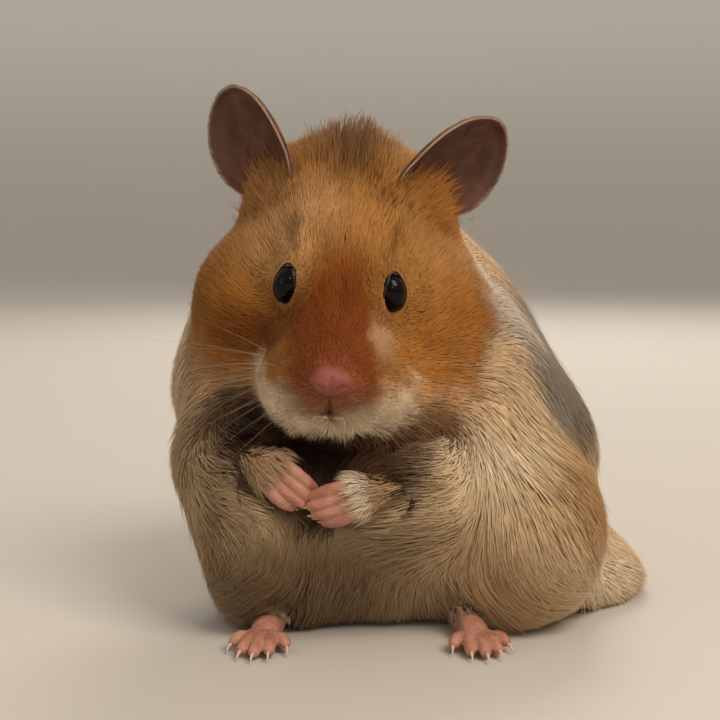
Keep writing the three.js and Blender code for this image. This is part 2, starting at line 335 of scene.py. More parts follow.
world = bpy.data.worlds.new("studio")
bpy.context.scene.world = world
world.use_nodes = True
world.node_tree.nodes["Background"].inputs["Color"].default_value = linear("f5eee6")
world.node_tree.nodes["Background"].inputs["Strength"].default_value = WORLD_STRENGTH
bpy.context.scene.view_settings.view_transform = "Standard"
print("lamps:", len(LAMPS))

# %% [markdown]
# ## The skin
# On the real animal one skin runs over the head, trunk and legs. It is made from copies of the flesh
# solids: they are swollen until the thin gaps between them close, turned into one closed mesh of small even
# faces with a voxel remesh, and smoothed. Sculpting it by hand would be slower, and it would stray from the
# solids.


# %% Copies of solids, and modifiers that are applied at once
def copy_of_nodes(name, nodes):
    """One object with merged copies of some solids. The solids themselves are left alone."""
    copies = [bpy.data.objects.new(name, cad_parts[n].data.copy()) for n in nodes]
    deselect_all()
    for part in copies:
        part.data.materials.clear()
        bpy.context.collection.objects.link(part)
        part.select_set(True)
    bpy.context.view_layer.objects.active = copies[0]
    bpy.ops.object.join()
    edit_all(copies[0], bpy.ops.mesh.remove_doubles, threshold=1e-6)
    copies[0].name = name
    return copies[0]


def apply_modifier(obj, kind, **settings):
    activate(obj)
    modifier = obj.modifiers.new(kind.lower(), kind)
    for key, value in settings.items():
        setattr(modifier, key, value)
    bpy.ops.object.modifier_apply(modifier=modifier.name)


print("solids to copy from:", len(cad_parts))


# %% Helpers for meshes: their largest part, their points and their outsides
UNWRAP_ANGLE = math.radians(66)


def keep_largest_part(obj):
    """Drops the small closed bubbles that a remesh leaves inside."""
    name = obj.name
    edit_all(obj, bpy.ops.mesh.separate, type="LOOSE")
    parts = sorted(bpy.context.selected_objects, key=lambda part: len(part.data.vertices))
    for part in parts[:-1]:
        bpy.data.objects.remove(part)
    parts[-1].name = name
    return parts[-1]


def places_of(obj):
    """The vertices of an object as an array of places in metres."""
    flat = np.empty(len(obj.data.vertices) * 3, np.float32)
    obj.data.vertices.foreach_get("co", flat)
    return flat.reshape(-1, 3).astype(float)


def normals_of(obj):
    flat = np.empty(len(obj.data.vertices) * 3, np.float32)
    obj.data.vertices.foreach_get("normal", flat)
    return flat.reshape(-1, 3).astype(float)


def set_places(obj, places):
    obj.data.vertices.foreach_set("co", places.astype(np.float32).ravel())
    obj.data.update()


def turn_outwards(obj):
    """Makes every face point outwards, after a shape was mirrored or built by hand."""
    edit_all(obj, bpy.ops.mesh.normals_make_consistent, inside=False)


def unwrap(obj, gap=0.004):
    """Lays the faces of a mesh out flat, in pieces with a small gap between them."""
    edit_all(obj, bpy.ops.uv.smart_project, angle_limit=UNWRAP_ANGLE, island_margin=gap)
    obj.data.uv_layers.active.name = "OFBake"


print("floor reaches", np.abs(places_of(floor)).max().round(2), "metres")

# %% One closed mesh from the flesh solids
FLESH = ["head", "lower_jaw", "neck", "trunk"]
FLESH += [f"{part}_{side}" for part in ("foreleg", "hind_leg") for side in SIDES]
FILLERS = ["nose", "eye_left", "eye_right"]
SWELL = 0.26 * MM
SKIN_VOXEL = 0.6 * MM

skin = copy_of_nodes("skin", FLESH + FILLERS)
apply_modifier(skin, "DISPLACE", strength=SWELL, mid_level=0.0)
apply_modifier(skin, "REMESH", mode="VOXEL", voxel_size=SKIN_VOXEL)
skin = keep_largest_part(skin)
print("skin:", len(skin.data.vertices), "vertices")

# %% [markdown]
# ## Fields
# Much of an animal changes gradually from place to place: the depth of its coat, the length of a hair, the
# way that it lies. Each of these is a field, a function that gives a value for any place. Two things build
# them all: a soft step from 0 to 1, and a smooth noise. A field can also be stored in a mesh as a vertex
# group, which tells a modifier where to act.


# %% Soft steps, smooth noise and weights
def step(value, low, high):
    """0 below low, 1 above high, and smooth between them. high may be the smaller of the two."""
    share = np.clip((value - low) / (high - low), 0, 1)
    return share * share * (3 - 2 * share)


def smooth_noise(places_mm, size, seed):
    """Noise from -1 to 1 with features about size millimetres across."""
    scaled = places_mm / size + seed * 7.31
    cell = np.floor(scaled).astype(np.int64)
    inside = scaled - cell
    inside = inside * inside * (3 - 2 * inside)
    total = np.zeros(len(places_mm))
    for corner in itertools.product((0, 1), repeat=3):
        at = cell + corner
        mixed = at[:, 0] * 73856093 ^ at[:, 1] * 19349663 ^ at[:, 2] * 83492791 ^ seed * 2654435
        mixed = (mixed ^ (mixed >> 13)) * 1274126177 & 0xFFFFFF
        mixed = (mixed ^ (mixed >> 7)) & 0xFFFF
        weight = np.prod(np.where(corner, inside, 1 - inside), axis=1)
        total += weight * mixed / 0xFFFF
    return total * 2 - 1


def weigh(obj, name, weights):
    """A vertex group with one weight for each vertex, in steps of a twentieth."""
    group = obj.vertex_groups.new(name=name)
    steps = np.round(weights * 20).astype(int)
    for level in range(1, 21):
        group.add(np.flatnonzero(steps == level).tolist(), level / 20, "REPLACE")
    return group.name


print("a half step is", step(np.array([0.5]), 0, 1))

# %% [markdown]
# ## Under the coat
# The solids reach to the tips of the fur, so the skin has to lie deeper: a third of a millimetre on the
# muzzle, where the fur is like velvet, and two and a half on the flanks. The remeshed skin is smoothed,
# more on the body than on the face, and then each point is moved inwards along its normal by the depth of
# the coat there.

# %% The depth of the coat
HEAD_REACH_MM = np.array([32.0, 31.0, 23.0])
HEAD_MIDDLE_MM = np.array([0.0, 8.0, 4.0])


def head_share(in_head):
    """1 on the head, 0 on the body, and smooth across the neck."""
    return step(np.linalg.norm((in_head - HEAD_MIDDLE_MM) / HEAD_REACH_MM, axis=1), 1.12, 0.84)


def coat_depth_mm(places):
    """How far the skin lies inside the tips of the coat."""
    in_head = to_head(places)
    on_head = head_share(in_head)
    from_nose = np.linalg.norm(in_head - NOSE_IN_HEAD_MM, axis=1)
    head_depth = 0.35 + 1.7 * step(from_nose, 9, 32)
    head_depth = np.minimum(head_depth, 0.5 + 1.6 * step(eye_gap_mm(in_head), 3.5, 9))
    body_depth = 2.2 * step(places[:, 2] / MM, -0.5, 7) + 0.3
    for side in SIDES:
        wrist = middle_of(f"forepaw_{side}")
        to_wrist = np.linalg.norm(places - wrist, axis=1) / MM
        body_depth = np.minimum(body_depth, 0.6 + 2.2 * step(to_wrist, 5, 18))
    return body_depth + (head_depth - body_depth) * on_head


print("skin to be drawn in by up to", coat_depth_mm(places_of(skin)).max().round(2), "mm")

# %% Smoothing, and drawing in
head_part = weigh(skin, "head", head_share(to_head(places_of(skin))))
apply_modifier(skin, "SMOOTH", factor=0.5, iterations=4)
apply_modifier(skin, "SMOOTH", factor=0.5, iterations=26, vertex_group=head_part, invert_vertex_group=True)
apply_modifier(skin, "SMOOTH", factor=0.5, iterations=4, vertex_group=head_part)
skin_places = places_of(skin)
set_places(skin, skin_places - normals_of(skin) * coat_depth_mm(skin_places)[:, None] * MM)
apply_modifier(skin, "SMOOTH", factor=0.5, iterations=3)
print("skin box", places_of(skin).min(axis=0).round(4), places_of(skin).max(axis=0).round(4))

# %% [markdown]
# ## Under the chin, and in the folds of the arms
# The hollow between the chin and the chest lies deeper, in its own shadow, so the skin there is pushed
# back. The folds between the forearms and the chest are the other way about: loose skin and fur fill them,
# so they are smoothed until they are shallow.

# %% The hollow and the folds
HOLLOW_MIDDLE_MM = np.array([0.0, 25.0, -19.5])
HOLLOW_HALF_MM = np.array([15.0, 9.0, 5.2])
HOLLOW_DEPTH_MM = 3.6
skin_places = places_of(skin)
reach = np.linalg.norm((to_head(skin_places) - HOLLOW_MIDDLE_MM) / HOLLOW_HALF_MM, axis=1)
skin_places -= step(reach, 1.0, 0.25)[:, None] * HOLLOW_DEPTH_MM * MM * head_y
set_places(skin, skin_places)
apply_modifier(skin, "SMOOTH", factor=0.5, iterations=2)

ARM_FOLDS_MM = ((2.0, -31.0, 24.0), (-30.0, -30.0, 25.5))
fold_gaps = [np.linalg.norm(places_of(skin) / MM - fold, axis=1) for fold in ARM_FOLDS_MM]
fold_part = weigh(skin, "arm folds", step(np.min(fold_gaps, axis=0), 9.0, 4.0))
apply_modifier(skin, "SMOOTH", factor=0.5, iterations=45, vertex_group=fold_part)
print("points pushed back under the chin:", int(np.sum(reach < 1)))

# %% [markdown]
# ## Eyes, lids and mouth in the skin
# A hamster's eye is a nearly black ball that stands well out of the head, in a narrow dark lid rim. The
# skin rises round it in a low mound, and is pressed in under the ball, so that the ball comes out of a
# clean hollow. The mouth is a cleft below the nose that parts into two short lips. The faces there are
# divided first, because a fold can't be finer than the mesh that carries it.

# %% Finer faces round the eyes and the mouth
MOUTH_MM = np.array([0.0, 27.2, -10.5])


def refine(obj, centre, radius, cuts=1):
    """Subdivides the faces near a place."""
    activate(obj)
    bpy.ops.object.mode_set(mode="EDIT")
    bpy.ops.mesh.select_mode(type="FACE")
    bpy.ops.mesh.select_all(action="DESELECT")
    bpy.ops.object.mode_set(mode="OBJECT")
    flat = np.empty(len(obj.data.polygons) * 3, np.float32)
    obj.data.polygons.foreach_get("center", flat)
    near = np.linalg.norm(flat.reshape(-1, 3) - centre, axis=1) < radius
    obj.data.polygons.foreach_set("select", near)
    bpy.ops.object.mode_set(mode="EDIT")
    bpy.ops.mesh.subdivide(number_cuts=cuts, smoothness=0)
    bpy.ops.object.mode_set(mode="OBJECT")


for side in SIDES:
    refine(skin, eyes_at[side], 5.6 * MM)
refine(skin, from_head(MOUTH_MM), 6.0 * MM, 2)
print("skin:", len(skin.data.polygons), "faces")

# %% The shape of an eye and of its opening
EYE_RADIUS_MM = 3.4
EYE_HALF_MM = np.array([3.4, 2.55, 3.3])
EYE_AXIS = unit(np.array([0.60, 0.79, 0.10]))
LID_HALF_WIDTH_MM = 2.15
LID_HALF_HEIGHT_MM = 3.0
LID_LEVEL_MM = 1.45
LID_TILT = math.radians(12)


def eye_axes(side):
    """Outwards from the ball, forwards along the lids, and up, in metres' axes."""
    out = unit(EYE_AXIS * [SIDES[side], 1, 1])
    forwards = np.array([0, 1.0, 0])
    forwards = unit(forwards - out * (forwards @ out))
    up = np.cross(out, forwards) * (1 if side == "left" else -1)
    up *= np.sign(up[2])
    return np.array([out, forwards, up]) @ HEAD_AXES


def in_eye(places, side):
    """Places in millimetres from the middle of an eye: outwards, forwards and up."""
    return (places - eyes_at[side]) @ eye_axes(side).T / MM


def lid_reach(local):
    """0 in the middle of an eye's opening and 1 at its edge. The opening is a drop, pointed at the top."""
    c, s = math.cos(LID_TILT), math.sin(LID_TILT)
    forwards = c * local[:, 1] + s * local[:, 2]
    up = -s * local[:, 1] + c * local[:, 2]
    turn = np.arctan2(up / LID_HALF_HEIGHT_MM, forwards / LID_HALF_WIDTH_MM)
    return np.hypot(forwards / LID_HALF_WIDTH_MM, up / LID_HALF_HEIGHT_MM) / pointed(turn)


def pointed(turn):
    """How much further the opening reaches towards its upper and lower corners."""
    return 1 + 0.13 * np.maximum(np.sin(turn), 0) ** 8 + 0.08 * np.maximum(-np.sin(turn), 0) ** 8


print("the eyes look along", (EYE_AXIS @ HEAD_AXES).round(2))

# %% The lines of the mouth
PHILTRUM_TOP_MM = -6.0
LIP_LEVEL_MM = -9.4
LIP_REACH_MM = 1.9
MOUTH_BACK_MM = 16
FAR_MM = 99


def mouth_crease(in_head):
    """Millimetres sideways from the cleft and the lips, and where along them a place is."""
    x, z = np.abs(in_head[:, 0]), in_head[:, 2]
    cleft = np.hypot(x, np.maximum(LIP_LEVEL_MM - z, 0) + np.maximum(z - PHILTRUM_TOP_MM, 0))
    lip_line = LIP_LEVEL_MM - 0.10 * np.minimum(x, 4.0) ** 1.6
    lips = np.hypot(z - lip_line, np.maximum(x - LIP_REACH_MM, 0))
    lips[in_head[:, 1] < MOUTH_BACK_MM] = FAR_MM
    cleft[in_head[:, 1] < MOUTH_BACK_MM] = FAR_MM
    return cleft, lips


print("the lips meet at", from_head([0, MOUTH_MM[1], LIP_LEVEL_MM]).round(4))

# %% Mounds and hollows for the eyes, and the cleft of the mouth
CLEFT_WIDTH_MM = 0.28
LIPS_WIDTH_MM = 0.34
skin_places = places_of(skin)
skin_normals = normals_of(skin)
for side in SIDES:
    local = in_eye(skin_places, side)
    reach = np.linalg.norm(local / EYE_HALF_MM, axis=1)
    opening = lid_reach(local)
    mound = LID_LEVEL_MM - 1.3 * np.maximum(opening - 1, 0)
    share = step(opening, 2.4, 1.2) * (local[:, 0] > -2.5)
    local[:, 0] += share * np.maximum(mound - local[:, 0], 0)
    covered = (reach < 1.45) & (local[:, 0] > 0.3) & (opening < 1.08)
    local[covered] *= 0.88 / reach[covered, None]
    skin_places[share > 0] = (eyes_at[side] + local * MM @ eye_axes(side))[share > 0]
in_head = to_head(skin_places)
cleft, lips = mouth_crease(in_head)
groove = 0.55 * np.exp(-((cleft / CLEFT_WIDTH_MM) ** 2)) + 0.85 * np.exp(-((lips / LIPS_WIDTH_MM) ** 2))
skin_places -= skin_normals * np.minimum(groove, 0.95)[:, None] * MM
set_places(skin, skin_places)
activate(skin)
bpy.ops.object.shade_smooth()
print("eyes and mouth let into the skin")

# %% [markdown]
# ## An unwrap of the skin
# An unwrap lays a surface out flat, as a tailor's pattern does. The fur needs one, because each tuft keeps
# a small patch at its root's place on it. A smart projection cuts the skin into pieces that lie flat
# without much stretching, and no seam has to be marked by hand.

# %% The unwrap
unwrap(skin, 0.002)
print("skin unwrapped:", len(skin.data.polygons), "faces")

# %% [markdown]
# ## Markings
# The coat is mostly cream, with gold on the head, rust down the bridge of the nose, orange cheeks, a pale
# muzzle, and a grey saddle on each flank. Some zones are painted shade: a shadow under the chin and down the
# chest, over the coat's own brown collar there, and a darker lower belly and front of the right side. Each
# marking is an egg-shaped zone with a ragged edge, in the frame of the head or of the body. One node group
# holds them all, and the skin and the coat both use it, so that a tuft always has the colour of the skin that
# it grows from.

# %% The colours
COLOURS = {
    "cream": "d0b28b",
    "white": "e6d1b0",
    "gold": "a47239",
    "pale gold": "c4935f",
    "orange": "a3682a",
    "rust": "7c3b07",
    "deep rust": "612a04",
    "muzzle": "763a11",
    "brown": "4e3118",
    # Painted shadow: this very dark brown stands for the chin's shadow, laid over the darker fur that the
    # coat has there.
    "dusk": "2c1609",
    "grey": "857a6e",
    "pale grey": "c6b8a8",
    "grey brown": "5e4a34",
    "tan": "a27645",
    "pink": "a35f4e",
    "wine": "4a120d",
}
print("colours:", len(COLOURS))

# %% Where they lie
# Each row gives a colour, its frame, the middle and the half-widths of its zone in millimetres, how soft
# its edge is, and how strongly it covers what is under it. "faces" is the head's frame with both sides
# alike.
MARKINGS = [
    ("tan", "body", (4, 34, 34), (40, 28, 34), 0.30, 0.85),
    ("orange", "body", (10, 34, 22), (30, 18, 24), 0.5, 0.5),
    ("grey", "body", (26, -3, 44), (17, 20, 16), 0.22, 0.95),
    ("grey", "body", (22, 14, 54), (13, 14, 10), 0.5, 0.75),
    ("grey brown", "body", (29, -8, 36), (9, 13, 8), 0.5, 0.45),
    ("grey brown", "body", (22, -10, 32.5), (5, 7, 4.5), 0.6, 0.5),
    ("grey", "body", (20, -5, 40.5), (6, 14, 9), 0.4, 0.85),
    ("pale grey", "body", (13.5, -11, 51.5), (5.5, 8, 5.5), 0.45, 0.9),
    ("grey", "body", (-34, 14, 42), (12, 16, 15), 0.35, 0.8),
    ("grey", "body", (-26, 22, 52), (12, 12, 9), 0.5, 0.6),
    ("pale grey", "body", (-30, 2, 50), (8, 8, 7), 0.6, 0.5),
    ("tan", "body", (28, -19, 24), (12, 13, 9), 0.5, 0.85),
    ("orange", "body", (12, -32, 9), (4, 8, 9), 0.6, 0.4),
    ("white", "body", (33, -19, 9), (12, 16, 8), 0.5, 0.8),
    ("white", "body", (9, -25, 35), (8, 9, 10), 0.6, 0.75),
    # Painted shade: the lower belly between the thighs is darkened, as light falls from above.
    ("grey brown", "body", (-16, -31, 9), (18, 13, 14), 0.7, 0.8),
    ("white", "body", (-34, -6, 42), (8, 12, 9), 0.6, 0.35),
    # Painted shade: the low front of the right side, away from the key lamp, is darkened.
    ("grey brown", "body", (-36, -20, 22), (15, 18, 22), 0.6, 0.35),
    # Painted shadow under the chin, over the coat's own brown collar: the next three zones darken the upper
    # chest.
    ("brown", "body", (-23, -29, 33.5), (10, 9, 5.5), 0.5, 0.85),
    ("brown", "body", (-2, -31, 33), (8, 9, 5), 0.5, 0.8),
    ("dusk", "body", (-15, -30, 31.8), (9.5, 9, 5), 0.5, 0.92),
    ("cream", "body", (0.5, -30, 24.5), (7.5, 9, 4.5), 0.5, 0.95),
    ("cream", "body", (-29, -31, 23.5), (6.5, 8, 4.5), 0.5, 0.6),
    ("tan", "head", (0, -10, 15), (15, 15, 11), 0.3, 0.9),
    ("gold", "faces", (0, 8, 6), (25.5, 25, 21), 0.10, 1.0),
    ("pale gold", "faces", (15, -1, 10), (9, 12, 8), 0.5, 0.3),
    ("pale gold", "head", (-9, 8, 12), (8, 8, 8), 0.6, 0.95),
    ("orange", "faces", (17, 10, -6), (9, 14, 8), 0.45, 0.9),
    ("orange", "head", (13.5, -5, 10), (7, 7, 7), 0.6, 0.85),
    ("brown", "faces", (23, 8, -7), (3, 8, 6), 0.6, 0.45),
    ("cream", "head", (25.5, 10, -11), (5.5, 8, 8), 0.3, 0.9),
    ("pale grey", "head", (28, -2, 1), (6.5, 13, 9), 0.4, 0.9),
    ("deep rust", "head", (-13, 14, -5.5), (6, 8, 4), 0.6, 0.6),
    ("deep rust", "head", (-8, 16, -2.5), (4, 6, 5), 0.6, 0.65),
    ("rust", "faces", (0, 19, 2), (6.4, 15, 7.5), 0.5, 0.9),
    ("deep rust", "faces", (0, 22, 1), (5, 8, 6), 0.6, 0.5),
    ("white", "faces", (0, 21, -9.2), (11.6, 11, 5.2), 0.22, 0.95),
    ("muzzle", "faces", (0, 26, -3.4), (7.4, 9, 6.4), 0.35, 0.9),
    ("cream", "head", (6.8, 20.3, -1.2), (1.8, 4, 3.4), 0.7, 0.4),
    ("brown", "head", (0, -3, 20), (4.2, 9, 6), 0.6, 0.75),
    ("grey brown", "head", (0, -15, 20), (7, 12, 8), 0.6, 0.6),
    ("brown", "faces", (7.2, 9.0, 8.2), (1.0, 3.2, 3.4), 0.6, 0.5),
    # Painted shadow under the chin and on the throat, over darker fur that the coat has there: the next three
    # zones.
    ("dusk", "head", (0, 24, -20.1), (18, 12, 6.4), 0.16, 0.92),
    ("dusk", "head", (-12.5, 21, -16.5), (8, 10, 4.4), 0.4, 0.8),
    ("brown", "head", (12, 22, -15.8), (7, 10, 4), 0.4, 0.6),
    ("pink", "faces", (0, 29, -4.8), (3.3, 5, 2.7), 0.5, 0.6),
    ("wine", "faces", (0, 27, -8.2), (0.9, 4, 1.6), 0.5, 0.7),
    ("wine", "faces", (0, 27, -9.5), (2.3, 4, 0.7), 0.5, 0.8),
]
print("markings:", len(MARKINGS))

# %% [markdown]
# ## A node group for the markings
# The group takes the place of a point and gives its colour. It scales the place to millimetres and shakes
# it with a noise, which makes the edges of the zones ragged. It turns the place into the head's frame too,
# and then lays the zones over one another in the order of the list. Painting an image would show more by
# hand, but each tuft would then need its own spot on it.


# %% The mask of one zone
def zone_mask(tree, place, middle, half_widths, softness, strength):
    """1 inside an egg-shaped zone, fading across its edge."""
    scale = [1 / w for w in half_widths]
    offset = [-m / w for m, w in zip(middle, half_widths)]
    shifted = vector_maths(tree, "MULTIPLY_ADD", {0: place, 1: scale, 2: offset})
    reach = vector_maths(tree, "LENGTH", {0: shifted}, "Value")
    return between(tree, reach, 1 - softness, 1 + softness, strength, 0.0)


print("the first zone fades over", 2 * MARKINGS[0][4], "of its half-widths")

# %% Places in the frames of the body and the head
RAGGED_MM = 6
tree, group_in, group_out = new_group(
    "coat markings", {"Place": ("Vector", None)}, {"Colour": ("Color", None)}
)
in_body = vector_maths(tree, "SCALE", {0: group_in.outputs["Place"], "Scale": 1 / MM})
ragged = noise(tree, in_body, 0.22, 3.0, 0.6).outputs["Color"]
ragged = vector_maths(tree, "SUBTRACT", {0: ragged, 1: (0.5, 0.5, 0.5)})
in_body = vector_maths(tree, "MULTIPLY_ADD", {0: ragged, 1: (RAGGED_MM,) * 3, 2: in_body})
turned = Matrix(np.array([head_x, -head_y, head_z]).T.tolist()).to_euler()
in_skull = add(
    tree,
    "Mapping",
    {"vector_type": "TEXTURE"},
    {"Vector": in_body, "Location": HEAD_AT / MM, "Rotation": turned, "Scale": (1, -1, 1)},
).outputs[0]
mirrored = vector_maths(tree, "ABSOLUTE", {0: in_skull})
parts = add(tree, "SeparateXYZ", None, {0: in_skull})
sides = add(tree, "SeparateXYZ", None, {0: mirrored})
both = add(tree, "CombineXYZ", None, {0: sides.outputs[0], 1: parts.outputs[1], 2: parts.outputs[2]})
FRAMES = {"body": in_body, "head": in_skull, "faces": both.outputs[0]}
print("frames:", *FRAMES)

# %% The zones laid over one another
colour = mix_colours(tree, 0.0, linear(COLOURS["cream"]), linear(COLOURS["cream"]))
for name, place, middle, half_widths, softness, strength in MARKINGS:
    mask = zone_mask(tree, FRAMES[place], middle, half_widths, softness, strength)
    colour = mix_colours(tree, mask, colour, linear(COLOURS[name]))
cloud = noise(tree, in_body, 0.35, 2.0).outputs["Fac"]
shade = between(tree, cloud, 0.25, 0.75, 0.86, 1.1)
shaded = vector_maths(tree, "SCALE", {0: colour, "Scale": shade})
tree.links.new(shaded, group_out.inputs["Colour"])
print("nodes in the group:", len(tree.nodes))

# %% [markdown]
# ## The coat's material
# A hair is darker near its root, partly from the grey of its undercoat and partly as painted shade deep in
# the coat, and paler at its tip, and no two have quite the same shade. Each tuft carries three attributes:
# the place of its root, a random shade, and how far along it a point is. One node group turns them into the
# colour of a strand. The fur is nearly matt, because many fine hairs scatter the light, so the shader has a
# high roughness and only a trace of sheen.

# %% The shade of a strand
PALE_TIP = "f2e2c8"
tree, group_in, group_out = new_group(
    "strand shade",
    {"Colour": ("Color", None), "Along": ("Float", 0.5), "Shade": ("Float", 0.5), "Root": ("Float", 0.94)},
    {"Colour": ("Color", None)},
)
# The darker root is partly the undercoat's grey and partly painted shade deep in the coat.
depth = between(tree, group_in.outputs["Along"], 0.0, 0.55)
dark = vector_maths(tree, "SCALE", {0: group_in.outputs["Colour"], "Scale": group_in.outputs["Root"]})
colour = mix_colours(tree, depth, dark, group_in.outputs["Colour"])
tip = between(tree, group_in.outputs["Along"], 0.55, 1.0, 0.0, 0.05)
colour = mix_colours(tree, tip, colour, linear(PALE_TIP))
spread = between(tree, group_in.outputs["Shade"], 0.0, 1.0, 0.88, 1.12)
colour = vector_maths(tree, "SCALE", {0: colour, "Scale": spread})
tree.links.new(colour, group_out.inputs["Colour"])
print("nodes in the group:", len(tree.nodes))


# %% The material of tufts
def coat_material(name, plain_colour=None):
    """The material of tufts. plain_colour takes the place of the markings on the ears and paws."""
    constants = {"Roughness": 0.7, "Specular IOR Level": 0.06, "Sheen Weight": 0.02, "Sheen Roughness": 0.5}
    material, tree, shader = new_material(name, constants)
    if plain_colour:
        patchy = noise(tree, attribute(tree, "root", "Vector"), 400.0).outputs["Fac"]
        base = mix_colours(tree, patchy, linear(plain_colour[0]), linear(plain_colour[1]))
    else:
        base = use_group(tree, "coat markings", {"Place": attribute(tree, "root", "Vector")}).outputs[0]
    inputs = {"Colour": base, "Along": attribute(tree, "along"), "Shade": attribute(tree, "shade")}
    shaded = use_group(tree, "strand shade", inputs).outputs[0]
    tree.links.new(shaded, shader.inputs["Base Color"])
    return material


coat_fur = coat_material("coat")
print("coat material:", len(coat_fur.node_tree.nodes), "nodes")

# %% [markdown]
# ## The skin's material
# Between the tufts the skin shows, as the underfur does on the animal. It has the same markings, a little
# darker and cooler, with a fine bump like the nap of cropped fur.

# %% Furred skin
UNDERFUR_TINT = (0.95, 0.91, 0.88, 1)
skin_material, tree, shader = new_material(
    "furred skin", {"Roughness": 0.8, "Specular IOR Level": 0.2, "Sheen Weight": 0.2}
)
place = object_place(tree)
colour = use_group(tree, "coat markings", {"Place": place}).outputs[0]
fine = noise(tree, place, 2600.0, 3.0)
colour = mix_colours(tree, 1.0, colour, UNDERFUR_TINT, "MULTIPLY")
tree.links.new(colour, shader.inputs["Base Color"])
bump = add(tree, "Bump", None, {"Height": fine.outputs["Fac"], "Distance": 0.0003, "Strength": 0.5})
tree.links.new(bump.outputs[0], shader.inputs["Normal"])
skin.data.materials.append(skin_material)
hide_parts(*FLESH)
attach(skin, "root")
print("skin stands for", len(FLESH), "solids")

# %% [markdown]
# ## The eyes
# A hamster's eye shows almost no white: a very dark brown iris fills the opening, under a clear wet cornea.
# It is a ball, pressed into the flatter shape of the eye. A ball fits the hollow in the skin all round,
# where a plain disc would show its edge from the side. A thin clear coat on the shader makes the wet shine.

# %% Eyeballs
WET_SHADER = {"Roughness": 0.12, "Coat Weight": 0.2, "Coat Roughness": 0.02, "Specular IOR Level": 0.06}
eye_material = two_tone_material("eye", WET_SHADER, "050202", "0f0704", 1500.0, 3.0)


def add_ball(name, centre, radius, segments=48, rings=32):
    deselect_all()
    bpy.ops.mesh.primitive_uv_sphere_add(segments=segments, ring_count=rings, radius=radius)
    ball = bpy.context.active_object
    ball.name = name
    set_places(ball, places_of(ball) + centre)
    bpy.ops.object.shade_smooth()
    return ball


for side in SIDES:
    eye = add_ball(f"eyeball_{side}", eyes_at[side], EYE_RADIUS_MM * MM)
    local = in_eye(places_of(eye), side)
    local *= EYE_HALF_MM / EYE_RADIUS_MM
    set_places(eye, eyes_at[side] + local * MM @ eye_axes(side))
    eye.data.materials.append(eye_material)
    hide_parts(f"eye_{side}")
    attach(eye, "root")
    print(eye.name, "at", eyes_at[side].round(4))

# %% [markdown]
# ## Tubes
# Lid rims, fingers, claws, the tail and the whiskers are all tubes along a path, some of them tapered and
# one kind flattened. A curve with a bevel makes a tube too, but a mesh built ring by ring takes its own
# radius at each point, and its ends are closed.


# %% A mesh from lists
def mesh_object(name, places, faces):
    mesh = bpy.data.meshes.new(name)
    mesh.from_pydata(places.tolist(), [], faces)
    obj = bpy.data.objects.new(name, mesh)
    bpy.context.collection.objects.link(obj)
    return obj


def ring_faces(count, ring, closed):
    """The faces between rings of points, and the two ends where the tube isn't a closed loop."""
    faces = []
    for i in range(count if closed else count - 1):
        for j in range(ring):
            a, b = i * ring + j, i * ring + (j + 1) % ring
            step_on = ((i + 1) % count) * ring
            faces.append((a, b, step_on + (j + 1) % ring, step_on + j))
    if not closed:
        faces.append(tuple(reversed(range(ring))))
        faces.append(tuple((count - 1) * ring + j for j in range(ring)))
    return faces


print("two rings of four make", len(ring_faces(2, 4, False)), "faces")


# %% A tube along a path
ANY_OUTWARDS = [0.13, 0.31, 0.94]


def tube(name, path, radii, ring=8, squash=1.0, outwards=None, closed=False):
    """A closed tube round a path. squash flattens it along the outwards direction at each point."""
    path = np.asarray(path, float)
    count = len(path)
    ahead = np.roll(path, -1, 0) - np.roll(path, 1, 0)
    if not closed:
        ahead[0], ahead[-1] = path[1] - path[0], path[-1] - path[-2]
    ahead = unit(ahead)
    if outwards is None:
        outwards = np.tile(ANY_OUTWARDS, (count, 1))
    out = unit(outwards - ahead * np.sum(outwards * ahead, axis=1, keepdims=True))
    beside = np.cross(ahead, out)
    turn = np.linspace(0, 2 * np.pi, ring, endpoint=False)
    circle = (
        np.cos(turn)[None, :, None] * beside[:, None] + squash * np.sin(turn)[None, :, None] * out[:, None]
    )
    places = (path[:, None] + circle * np.asarray(radii, float).reshape(-1, 1, 1)).reshape(-1, 3)
    obj = mesh_object(name, places, ring_faces(count, ring, closed))
    turn_outwards(obj)
    bpy.ops.object.shade_smooth()
    return obj


print("a tube with no side of its own is squared to", ANY_OUTWARDS)

# %% [markdown]
# ## The lid rims
# The lids are a thin, dark, hairless rim that hugs the ball and hides the edge of its hollow. The rim
# follows the drop-shaped opening, so it is a closed tube along that line, lifted on to the ball and pressed
# a little flat.

# %% Lid rims
LID_POINTS = 56
LID_RADIUS_MM = 0.24
lid_shader = {"Roughness": 0.4, "Specular IOR Level": 0.4}
lid_material = two_tone_material("lid", lid_shader, "0d0604", "1f110c", 1800.0)


def lid_outline(count):
    """The edge of the opening, in millimetres forwards and up from the middle of the eye."""
    turn = np.linspace(0, 2 * np.pi, count, endpoint=False)
    forwards = LID_HALF_WIDTH_MM * np.cos(turn) * pointed(turn)
    up = LID_HALF_HEIGHT_MM * np.sin(turn) * pointed(turn)
    c, s = math.cos(LID_TILT), math.sin(LID_TILT)
    return np.stack([c * forwards - s * up, s * forwards + c * up], axis=1)


for side in SIDES:
    flat = lid_outline(LID_POINTS)
    under = 1 - np.sum((flat / EYE_HALF_MM[1:]) ** 2, axis=1)
    out = EYE_HALF_MM[0] * np.sqrt(np.maximum(under, 0.12))
    local = np.column_stack([out, flat])
    away = unit(local) @ eye_axes(side)
    path = eyes_at[side] + (local * MM) @ eye_axes(side) + away * 0.05 * MM
    radii = np.full(LID_POINTS, LID_RADIUS_MM * MM)
    lid = tube(f"lid_{side}", path, radii, 10, 0.7, away, closed=True)
    lid.data.materials.append(lid_material)
    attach(lid, "root")
print("eyes and lids made")

